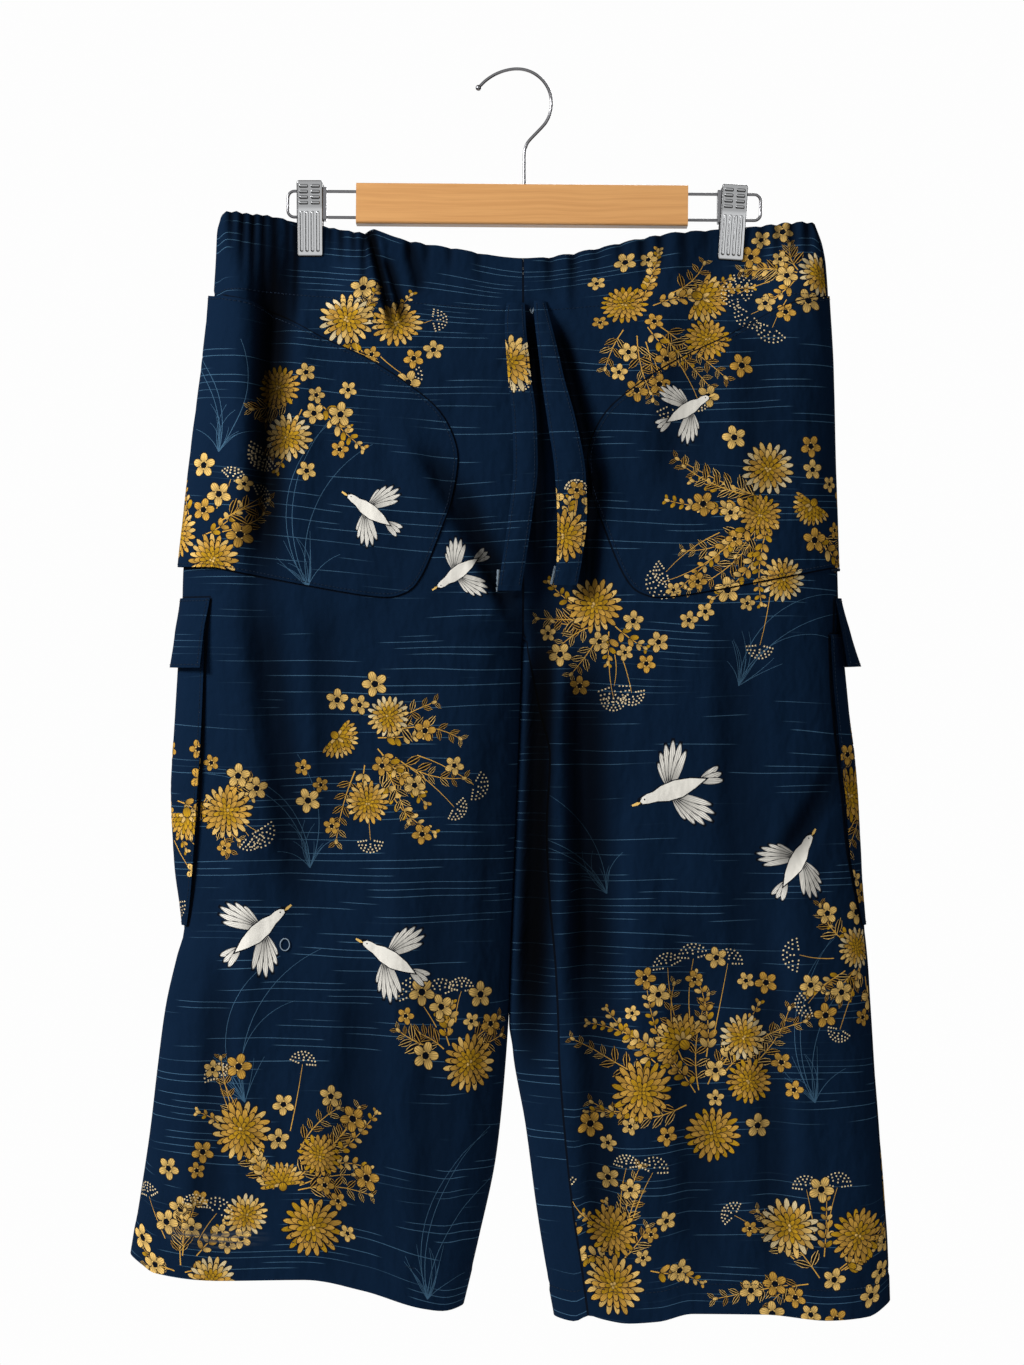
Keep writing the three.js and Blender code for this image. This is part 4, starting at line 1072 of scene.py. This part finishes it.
class Nodes:
    """Short ways to add nodes to a material or to the world."""

    def __init__(self, owner):
        self.tree = owner.node_tree

    def link(self, given, socket):
        if isinstance(given, Value):
            self.tree.links.new(given.socket, socket)
        elif isinstance(given, tuple):
            socket.default_value = (*given, 1)[:len(socket.default_value)]
        else:
            socket.default_value = given

    def add(self, kind, *given, output=0, **settings):
        """A new node with its first inputs given in order, returned as one of its outputs."""
        node = self.tree.nodes.new("ShaderNode" + kind)
        for name, value in settings.items():
            setattr(node, name, value)
        for socket, value in zip(node.inputs, given):
            self.link(value, socket)
        return Value(self, node.outputs[output]) if node.outputs else node

    def apart(self, vector, count=3):
        """The first numbers of a vector."""
        outputs = self.add("SeparateXYZ", vector).socket.node.outputs
        return [Value(self, outputs[k]) for k in range(count)]

    def mix(self, share, first, second):
        mixed = self.add("Mix", share, output=2, data_type="RGBA")
        self.link(first, mixed.socket.node.inputs[6])
        self.link(second, mixed.socket.node.inputs[7])
        return mixed

    def noise(self, vector, scale=1.0, detail=2.0):
        return self.add("TexNoise", vector, 0.0, scale, detail, 0.5)

    def combine(self, x, y, z=0.0):
        return self.add("CombineXYZ", x, y, z)

    def bump(self, height, distance, strength, normal=None):
        bumped = self.add("Bump", strength, distance)
        for name, value in (("Height", height), ("Normal", normal)):
            if value is not None:
                self.link(value, bumped.socket.node.inputs[name])
        return bumped

    def shade_with(self, value, name="Base Color"):
        self.link(value, self.tree.nodes["Principled BSDF"].inputs[name])


def light_value(nodes):
    """The light that a mesh says it gets in its folds and behind its edges."""
    return nodes.add("Attribute", attribute_name="light", output="Fac")


# Thin printed lines like ripples: their pitch, half width, wander and usual length in millimetres
RIPPLES = {"pitch": 5.2, "half": 0.25, "wander": 16.0, "length": 90}


def ripples(nodes, x, y):
    """Where the thin blue lines lie on the flat cloth."""
    sway = nodes.noise(nodes.combine(x / 160, y / 60), detail=1.0)
    row = (y + sway * RIPPLES["wander"]) / RIPPLES["pitch"]
    half = RIPPLES["half"] / RIPPLES["pitch"]
    line = 1.0 - (row.math("FRACT") - 0.5).math("ABSOLUTE").ramp(0.5 * half, 1.3 * half)
    spread = nodes.combine(x / RIPPLES["length"], row.math("FLOOR") * 7.31)
    shown = nodes.noise(spread, detail=0.0).ramp(0.52, 0.57)
    group = nodes.noise(nodes.combine(x / 150, y / 55, 4.0), detail=1.0).ramp(0.36, 0.5)
    return line * shown * group


# The rubbed place above the hem of the right leg: its middle and half sizes on the flat cloth
WEAR = {"x": -224, "y": -905, "half_width": 40, "half_height": 9}


def wear(nodes, x, y):
    across, up = (x - WEAR["x"]) / WEAR["half_width"], (y - WEAR["y"]) / WEAR["half_height"]
    shown = 1.0 - (across * across + up * up).ramp(0.1, 1.4)
    streaks = nodes.noise(nodes.combine(x / 30, y / 2.5), detail=3.0)
    return shown * streaks.ramp(0.35, 0.75)


def petal_dark(p, q):
    """Dark edge, veins and base of a petal, from its own normal places."""
    edge = (p * p + q * q).math("SQRT").ramp(0.70, 0.84)
    stripe = (q / (p * 0.35 + 1.0) * 2.5).math("FRACT") - 0.5
    veins = 1.0 - stripe.math("ABSOLUTE").ramp(0.06, 0.22)
    base = 1.0 - p.ramp(-0.95, 0.4)
    return edge.math("MAXIMUM", (veins * 0.6).math("MAXIMUM", base * 0.6))


def leaf_dark(p, q):
    """All of a leaf but its outline and rib."""
    across = q.math("ABSOLUTE")
    edge = (across / (1.12 - p * p)).ramp(0.64, 0.76)
    return 1.0 - edge.math("MAXIMUM", 1.0 - across.ramp(0.03, 0.12))


def cotton():
    """Navy plain weave with the print's inks, veins and dark edges, and a soft dry surface."""
    material = principled("cotton", NAVY, Roughness=0.9, Specular_IOR_Level=0.03)
    nodes = Nodes(material)
    cloth = nodes.add("UVMap", uv_map="cloth")
    x, y = (value * 1000.0 for value in nodes.apart(cloth, 2))
    p, q = nodes.apart(nodes.add("UVMap", uv_map="petal"), 2)
    ink = nodes.add("Attribute", attribute_name="ink", output="Color")
    kind = Value(nodes, ink.socket.node.outputs["Alpha"])
    dark = (petal_dark(p, q) * kind.math("COMPARE", PETAL, 0.1)
            + leaf_dark(p, q) * kind.math("COMPARE", LEAF, 0.1))

    ground = nodes.mix(nodes.noise(cloth, 6.0, 3.0), NAVY, tuple(1.4 * c for c in NAVY))
    ground = nodes.mix(ripples(nodes, x, y), ground, STEEL_BLUE)
    color = nodes.mix(kind.math("GREATER_THAN", PLAIN / 2), ground, nodes.mix(dark, ink, DEEP))
    color = nodes.mix(wear(nodes, x, y), color, WORN)
    # Painted shade: the light attribute darkens the colour toward black in steep folds, on their far walls
    # and in the gathers.
    nodes.shade_with(nodes.mix(light_value(nodes), (0.0, 0.0, 0.0), color))

    weave = nodes.bump(nodes.noise(cloth, 1400.0, 1.0), 0.0002, 0.5)
    crumple = nodes.noise(nodes.combine(x / 30, y / 64), detail=3.0)
    small = nodes.noise(nodes.combine(x / 13, y / 16))
    nodes.shade_with(nodes.bump(crumple + small * 0.22, 0.006, 0.8, weave), "Normal")
    return material


def maple():
    """Light lacquered wood with long fine grain along the bar."""
    material = principled("maple", MAPLE, Roughness=0.38, Coat_Weight=0.25, Coat_Roughness=0.2)
    nodes = Nodes(material)
    x, y, z = (value * 1000.0 for value in nodes.apart(nodes.add("TexCoord", output="Object")))
    height = z + nodes.noise(nodes.combine(x / 90, y), detail=1.0) * 9.0
    broad = nodes.noise(nodes.combine(x / 160, height / 3.2, y))
    fine = nodes.noise(nodes.combine(x / 28, height * 1.6, y))
    nodes.shade_with(nodes.mix((broad * 0.9 + fine * 0.35).ramp(0.42, 0.86), MAPLE, MAPLE_GRAIN))
    return material


def keep(piece, node=None):
    """Sets a piece on the one body, in place of a solid where it has one."""
    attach(piece, "root")
    if node:
        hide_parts(node)


def finish_cloth(cloth, node, sewing):
    keep(cloth, node)
    keep(sewing)


# Thread: length, width and pitch of one stitch, and how far its ridge stands off the cloth
SEAM_STITCH = {"length": 2.1, "width": 0.6, "pitch": 3.0, "ridge": 0.35}
TACK_STITCH = {"length": 0.8, "width": 2.6, "pitch": 0.9, "ridge": 0.5}
HOLE_STITCH = {"length": 0.8, "width": 1.7, "pitch": 1.0, "ridge": 0.5}
STITCH_FACES = [(0, 1, 5, 4), (3, 4, 5, 2), (0, 4, 3), (1, 2, 5), (0, 3, 2, 1)]


def stitches(name, lines, surface, thread, size=SEAM_STITCH):
    """Rows of short raised stitches along lines on the flat cloth, joined into one mesh."""
    middles, ways = [], []
    for line in lines:
        line = np.asarray(line, float)
        steps = np.diff(line, axis=0)
        far = np.concatenate([[0], np.cumsum(np.hypot(*steps.T))])
        at = np.arange(size["pitch"] / 2, far[-1], size["pitch"])
        k = np.clip(np.searchsorted(far, at) - 1, 0, len(steps) - 1)
        ways.append(unit(steps)[k])
        middles.append(line[k] + ways[-1] * (at - far[k])[:, None])
    middle, way = np.concatenate(middles), np.concatenate(ways)
    side = way[:, ::-1] * (-1, 1)
    length, width = size["length"] / 2, size["width"] / 2
    corners = [surface(middle + way * length * a + side * width * b)
               for a, b in ((-1, -1), (1, -1), (1, 1), (-1, 1))]
    ends = [surface(middle + way * length * 0.8 * a) for a in (-1, 1)]
    rows_of = [point + normal * 0.02 for point, normal in corners]
    rows_of += [point + normal * size["ridge"] for point, normal in ends]
    vertices = np.stack(rows_of, axis=1).reshape(-1, 3)
    faces = [tuple(6 * k + v for v in face) for k in range(len(middle)) for face in STITCH_FACES]
    return new_object(name, vertices, faces, thread)


def sewn_line(side, face, at):
    """A line of sewing across a panel at a level."""
    level = np.full(60, float(at))
    start, end = seams(side, face, level)
    return joined(start + (end - start) * np.linspace(0.01, 0.99, 60), level)


def inset(outline, by):
    """The outline moved inward, for a line of sewing along a patch's edge."""
    side = sideways(outline, closed=True) * by
    moved = outline + side if inside(outline[:1] + side[:1], outline)[0] else outline - side
    return np.concatenate([moved, moved[:1]])


PATCH_INSET = 2.2
SEAM_SHADOW = 1.6
PATCH_SHADOW = 2.6
FINE = {"across": 2.0, "down": 3.0, "down_to": -205}


def seam_shadows(side, face):
    """Painted shadow lines where a panel dips into its two seams, and round the patches that are sewn on it.
    """
    level = np.linspace(WAIST, HEM[side], 120)
    lines = [strip(joined(x, level), SEAM_SHADOW, DEEP, 1) for x in seams(side, face, level)]
    for _, outline, _, _, _ in patches(side):
        lines.append(strip(np.concatenate([outline, outline[:1]]), PATCH_SHADOW, DEEP, 1))
    return lines


def build_panels(side, material, thread):
    surface = leg_surface(side, panel_lift)
    for face in ("front", "back"):
        node = f"{face}_{side}"
        # The seam shadows are painted shadow strips, cut in with the print.
        shapes = printed(node) + seam_shadows(side, face)
        cloth = shell(node + "_cloth", panel_outline(side, face), surface, material, shapes, fine=FINE)
        lines = [sewn_line(side, face, at) for at in (CASING_LEVEL, HEM_LINES[side])]
        finish_cloth(cloth, node, stitches(node + "_stitching", lines, surface, thread))


# The printed lines on the right hip pocket fall toward the middle by this much for each millimetre
POCKET_SLOPE = 0.078


def patches(side):
    """Each patch of a side: its node, outline, surface, printed layout and the slope of its lines."""
    across = HIP_EDGE["x"] if side == "right" else 2 * CENTRE - HIP_EDGE["x"]
    layout, slope = ("hip_pocket_right", POCKET_SLOPE) if side == "right" else ("front_left", 0)
    outline = patch_outline(side, HIP, *spline(across, HIP_EDGE["z"], 6))
    found = [("hip_pocket_" + side, outline, leg_surface(side, hip_lift), layout, slope)]
    for node, size, edge, lift in (("cargo_pocket_", CARGO, CARGO_EDGE, pocket_lift),
                                   ("cargo_flap_", FLAP, FLAP_EDGE, flap_lift)):
        z = np.linspace(size["top"], size["bottom"], 30)
        outline = patch_outline(side, size, along(edge[side], "x", z), z)
        found.append((node + side, outline, leg_surface(side, lift), "cargo_" + side, 0))
    return found


def build_patches(side, material, thread):
    for node, outline, surface, layout, slope in patches(side):
        cloth = shell(node + "_cloth", outline, surface, material, printed(layout), slope=slope)
        line = inset(outline, PATCH_INSET)
        finish_cloth(cloth, node, stitches(node + "_stitching", [line], surface, thread))


def build_tie(side, material, thread):
    node, table = f"tie_{side}", TIES[side]
    surface = tie_surface(side)
    cloth = shell(node + "_cloth", tie_outline(side), surface, material, printed(node), 3, thick=TIE_WALL)
    level = np.linspace(table["level"][0] - 3, table["level"][-1] + 3, 60)
    edge = along(table, "width", level) / 2 - PATCH_INSET
    lines = [joined(x, level) for x in (-edge, edge)]
    finish_cloth(cloth, node, stitches(node + "_stitching", lines, surface, thread))


# Small sewn marks seen from the front: x, z and half height of the buttonholes, then x, z, length and
# angle of the tacks
BUTTONHOLES = [(11.5, -180.5, 11), (-3.5, -180, 7)]
TACKS = {
    "pale": [(-15, -399, 17, 86), (28, -395, 14, 78), (-112.5, -127.5, 5, 92)],
    "navy": [(247, -390, 9, 8)],
}


THREAD_LOOP = {"at": (-178.6, -679), "half_size": (3.6, 4.6), "radius": 0.4}


def sewn_mark(name, x, z, across, up, thread, size, lift=no_lift):
    """Sewing along a line on the front, from its middle and its steps across and up."""
    side = "right" if x < CENTRE else "left"
    line = flat_place(side, *front_place(side, x + across, z + up))
    return stitches(name, [line], leg_surface(side, lift), thread, size)


def thread_loop(material):
    at, size = THREAD_LOOP["at"], THREAD_LOOP["half_size"]
    middle = place("right", *front_place("right", *at))
    turn = np.linspace(0, 2 * math.pi, 33)[:-1]
    path = middle[[0, 2]] + size * joined(np.cos(turn), np.sin(turn))
    return tube("thread_loop", path, THREAD_LOOP["radius"], material, y=middle[1] - 0.9, closed=True)


def build_marks(pale, navy):
    turn = np.linspace(0, 2 * math.pi, 25)
    marks = []
    for k, (x, z, half_height) in enumerate(BUTTONHOLES):
        marks.append(sewn_mark(f"buttonhole_{k + 1}", x, z, 1.7 * np.sin(turn), half_height * np.cos(turn),
                               pale, HOLE_STITCH))
    for name, thread, lift in (("pale", pale, no_lift), ("navy", navy, hip_lift)):
        for k, (x, z, length, angle) in enumerate(TACKS[name]):
            across, up = np.outer(toward(math.radians(angle)), np.linspace(-length / 2, length / 2, 7))
            marks.append(sewn_mark(f"tack_{name}_{k + 1}", x, z, across, up, thread, TACK_STITCH, lift))
    for piece in (*marks, thread_loop(pale)):
        keep(piece)


def build_cloth():
    material = cotton()
    navy = principled("navy_thread", (0.008, 0.016, 0.032), Roughness=0.8, Specular_IOR_Level=0.1)
    pale = principled("pale_thread", (0.20, 0.26, 0.32), Roughness=0.8)
    for side in HEM:
        build_panels(side, material, navy)
        build_patches(side, material, navy)
        build_tie(side, material, navy)
    build_marks(pale, navy)


# The hanger
WIRE = 2.5
HOOK = {"radius": 26.9, "start": 158, "stop": -42, "turns": 16, "flare": 5.5, "flare_turns": 5, "ball": 2.3}
STEM = rows("x z", (9.6, -54.6), (6.9, -59.4), (5.9, -63.5), (5.7, -70), (5.7, -80), (5.7, -89), (5.7, -100))
BAR = {"length": 258, "x": 3.9, "z": -105.6, "socket": 11, "tilt": 0.0075}
LOOP = {"wire": 2.4, "half_height": 10.1, "corner": 5, "right": -178.6, "left": 190}
CLIPS = {"right": {"x": -161.2, "top": -86.8, "lean": 0}, "left": {"x": 169.9, "top": -89.9, "lean": 0.064}}
# The rounded front of a clip; its upper part, as far down as upper says, has painted shade that makes it
# darker than the jaw
PLATE = {"width": 20.4, "height": 59, "thick": 1.3, "round": 2.2, "edge": 1.5, "rim": 1.3, "upper": 23,
         "tilt": 0.07, "clear": 2.7}
BARS = [(hand * 4.6, -4.6 - 4.3 * k) for k in range(4) for hand in (-1, 1)]
RIBS = [(k - 1.5) * 4.2 for k in range(4)]


def tube(name, path, radius, material, y=0.0, closed=False, sides=14):
    """A smooth round wire along a path in a plane that faces the front."""
    turn = 2 * math.pi * np.arange(sides) / sides
    x, z = path.T[:, :, None] + radius * np.cos(turn) * sideways(path, closed).T[:, :, None]
    vertices = joined(x, y + radius * np.sin(turn) + 0 * x, z).reshape(-1, 3)
    count = len(path)
    faces = []
    for k in range(count if closed else count - 1):
        a, b = k * sides, (k + 1) % count * sides
        faces += [(a + j, a + (j + 1) % sides, b + (j + 1) % sides, b + j) for j in range(sides)]
    if not closed:
        faces += [tuple(range(sides))[::-1], tuple((count - 1) * sides + j for j in range(sides))]
    return new_object(name, vertices, faces, material)


def hook_path():
    turns = np.arange(HOOK["turns"] + 1)
    angle = np.radians(HOOK["start"] + (HOOK["stop"] - HOOK["start"]) * turns / HOOK["turns"])
    radius = HOOK["radius"] + HOOK["flare"] * np.maximum(0, 1 - turns / HOOK["flare_turns"]) ** 2
    x = np.concatenate([radius * np.cos(angle), STEM["x"]])
    z = np.concatenate([WIRE / 2 - HOOK["radius"] + radius * np.sin(angle), STEM["z"]])
    return np.stack(spline(x, z, 6), axis=1)


def tilted(path):
    """Turned with the bar about its middle, in the plane that faces the front."""
    middle = (BAR["x"], BAR["z"])
    return np.stack(turned(*(path - middle).T, -BAR["tilt"]), axis=1) + middle


def loop_path(side):
    far, end = LOOP[side], math.copysign(1, LOOP[side])
    near = BAR["x"] + end * (BAR["length"] / 2 - BAR["socket"])
    bend, corner, half = far - end * LOOP["corner"], LOOP["corner"], LOOP["half_height"]
    turn = np.linspace(0, math.pi / 2, 9)
    x = np.concatenate([np.linspace(near, bend, 12)[:-1], bend + end * corner * np.sin(turn)])
    z = np.concatenate([np.full(11, half), half - corner * (1 - np.cos(turn))])
    path = np.concatenate([joined(x, z), joined(x, -z)[::-1]])
    return tilted(path + [0, BAR["z"]])


def capsule(x, z, half_x, half_z, radius, height):
    """A rounded raised bar at the middle of its own axes."""
    far = np.hypot(np.maximum(np.abs(x) - half_x, 0), np.maximum(np.abs(z) - half_z, 0))
    return height * np.sqrt(np.maximum(0, 1 - (far / radius) ** 2))


def clip_face(name, clip, material):
    """The pressed front plate of a clip, with rounded edges, finger bars above and ribs on the jaw."""
    half, height, corner = PLATE["width"] / 2, PLATE["height"], PLATE["round"]
    z = -height * np.linspace(0, 1, 190)[:, None]
    end = np.minimum(-z, height + z)
    into = np.maximum(corner - end, 0)
    limit = half - (corner - np.sqrt(np.maximum(corner ** 2 - into ** 2, 0)))
    x = limit * np.linspace(-1, 1, 68)[None, :]
    z = z + 0 * x
    edge = np.minimum(np.minimum(limit - np.abs(x), end), PLATE["edge"]) / PLATE["edge"]
    relief_of = PLATE["thick"] * np.sqrt(np.maximum(0, 1 - (1 - edge) ** 2))
    for bx, bz in BARS:
        relief_of = relief_of + capsule(x - bx, z - bz, 2.4, 0.25, 0.95, 0.9)
    for rx in RIBS:
        relief_of = relief_of + capsule(x - rx, z + 39.5, 0.2, 14.5, 1.05, 0.8)
    # Painted shade for the light attribute: darker round the rim and on the far sides of the bars and ribs.
    falls = np.gradient(relief_of, axis=0) * 190 / height - np.gradient(relief_of, axis=1) * 34 / half
    rim = 1 - np.minimum(np.minimum(limit - np.abs(x), end) / PLATE["rim"], 1)
    light = np.exp(-2.6 * np.maximum(-falls, 0)) * (1 - 0.9 * smooth(rim))
    # Painted shade: the upper part of the plate is darker.
    light = light * (1 - 0.35 * smooth((z + PLATE["upper"]) / 3))
    y, z = turned(-relief_of, z + height, PLATE["tilt"])
    x, z = turned(x, z - height, -clip["lean"])
    at = np.arange(x.size).reshape(x.shape)
    faces = joined(at[:-1, :-1], at[1:, :-1], at[1:, 1:], at[:-1, 1:]).reshape(-1, 4).tolist()
    rim = np.concatenate([at[0, :], at[1:, -1], at[-1, -2::-1], at[-2:0:-1, 0]])
    faces.append(tuple(rim.tolist()))
    vertices = joined(x + clip["x"], y - PLATE["clear"], z + clip["top"]).reshape(-1, 3)
    obj = new_object(name, vertices, faces, material)
    write_light(obj.data, light)
    return obj


def pressed_steel():
    """Bright steel with painted shade round its rim, on the far sides of its bars and ribs and on its upper
    part.
    """
    material = principled("pressed_steel", STEEL, Metallic=1.0, Roughness=0.2)
    nodes = Nodes(material)
    nodes.shade_with(nodes.mix(light_value(nodes), (0.02, 0.02, 0.02), STEEL))
    return material


def build_hanger():
    steel = principled("steel", WIRE_STEEL, Metallic=1.0, Roughness=0.22)
    bright, wood = pressed_steel(), maple()
    for name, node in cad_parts.items():
        if name == "bar":
            node.data.materials[0] = wood
        elif name.startswith("clip"):
            node.data.materials[0] = steel
    path = hook_path()
    pieces = {"hook": tube("hook_wire", path, WIRE / 2, steel)}
    for side in HEM:
        pieces[f"loop_{side}"] = tube(f"loop_{side}_wire", loop_path(side), LOOP["wire"] / 2, steel)
        pieces[f"clip_{side}_front"] = clip_face(f"clip_{side}_face", CLIPS[side], bright)
    bpy.ops.mesh.primitive_uv_sphere_add(segments=24, ring_count=16, radius=HOOK["ball"] * MM,
                                         location=(path[0][0] * MM, 0, path[0][1] * MM))
    ball = bpy.context.object
    ball.name = "hook_ball"
    ball.data.materials.append(steel)
    ball.data.polygons.foreach_set("use_smooth", [True] * len(ball.data.polygons))
    keep(ball)
    for node, piece in pieces.items():
        keep(piece, node)


# Camera, light and floor
CAMERA = {"place": (-0.0039, -1.9, -0.4774), "lens": 64.24}
# The room is lighter above and to the left. The camera itself sees an even white behind the object.
ROOM_LIGHT = {"level": 0.24, "toward": (-0.14, -0.04, 0.16)}
MIRRORED = {"front": (0.35, 0.92), "strength": (0.05, 0.80), "toward": (-0.15, 0.0, 0.25)}
BACKDROP_LIGHT = 0.985
# Each lamp's place, size and power, all aimed at the middle of the cloth
LIGHTS = {"key": ((-2.0, -1.4, 0.7), 0.7, 78), "fill": ((1.6, -1.9, 0.1), 1.6, 5),
          "back": ((0.6, 1.9, 0.7), 1.2, 30)}
LIT_MIDDLE = (0, 0, -0.5)
FLOOR_Z = -1.3
FLOOR_RADIUS = 0.95


def area_light(name, place_at, size, power):
    light = bpy.data.lights.new(name, "AREA")
    light.energy = power
    light.size = size
    obj = bpy.data.objects.new(name, light)
    obj.location = place_at
    obj.rotation_euler = (Vector(LIT_MIDDLE) - Vector(place_at)).to_track_quat("-Z", "Y").to_euler()
    bpy.context.scene.collection.objects.link(obj)


def light_world(world):
    """Soft room light, a bright front and back with dark sides for steel to mirror, and an even backdrop."""
    nodes = Nodes(world)
    nodes.tree.nodes.clear()
    view = nodes.add("TexCoord", output="Generated")
    path = nodes.add("LightPath", output="Is Camera Ray")
    glossy = Value(nodes, path.socket.node.outputs["Is Glossy Ray"])

    def facing_way(direction):
        return nodes.add("VectorMath", view, direction, output="Value", operation="DOT_PRODUCT")

    def glow(level):
        return nodes.add("Background", (1, 1, 1), level)

    ahead = facing_way((0, -1, 0)).math("ABSOLUTE")
    mirrored = nodes.add("MapRange", ahead, *MIRRORED["front"], *MIRRORED["strength"])
    room = glow(facing_way(ROOM_LIGHT["toward"]) + ROOM_LIGHT["level"])
    lit = nodes.add("MixShader", glossy, room, glow(mirrored + facing_way(MIRRORED["toward"])))
    nodes.add("OutputWorld", nodes.add("MixShader", path, lit, glow(BACKDROP_LIGHT)))


def build_stage():
    scene = bpy.context.scene
    camera = bpy.data.cameras.new("camera")
    camera.lens = CAMERA["lens"]
    view = bpy.data.objects.new("camera", camera)
    view.location = CAMERA["place"]
    view.rotation_euler = (math.radians(90), 0, 0)
    scene.collection.objects.link(view)
    scene.camera = view
    world = scene.world or bpy.data.worlds.new("world")
    scene.world = world
    world.use_nodes = True
    light_world(world)
    scene.view_settings.view_transform = "Standard"
    bpy.ops.mesh.primitive_circle_add(vertices=96, radius=FLOOR_RADIUS, fill_type="NGON",
                                      location=(0, 0, FLOOR_Z))
    floor = bpy.context.object
    floor.name = "floor"
    floor.data.materials.append(principled("floor", (0.85, 0.85, 0.85), Roughness=0.9))
    for name, (place_at, size, power) in LIGHTS.items():
        area_light(name, place_at, size, power)


build_stage()
build_cloth()
build_hanger()
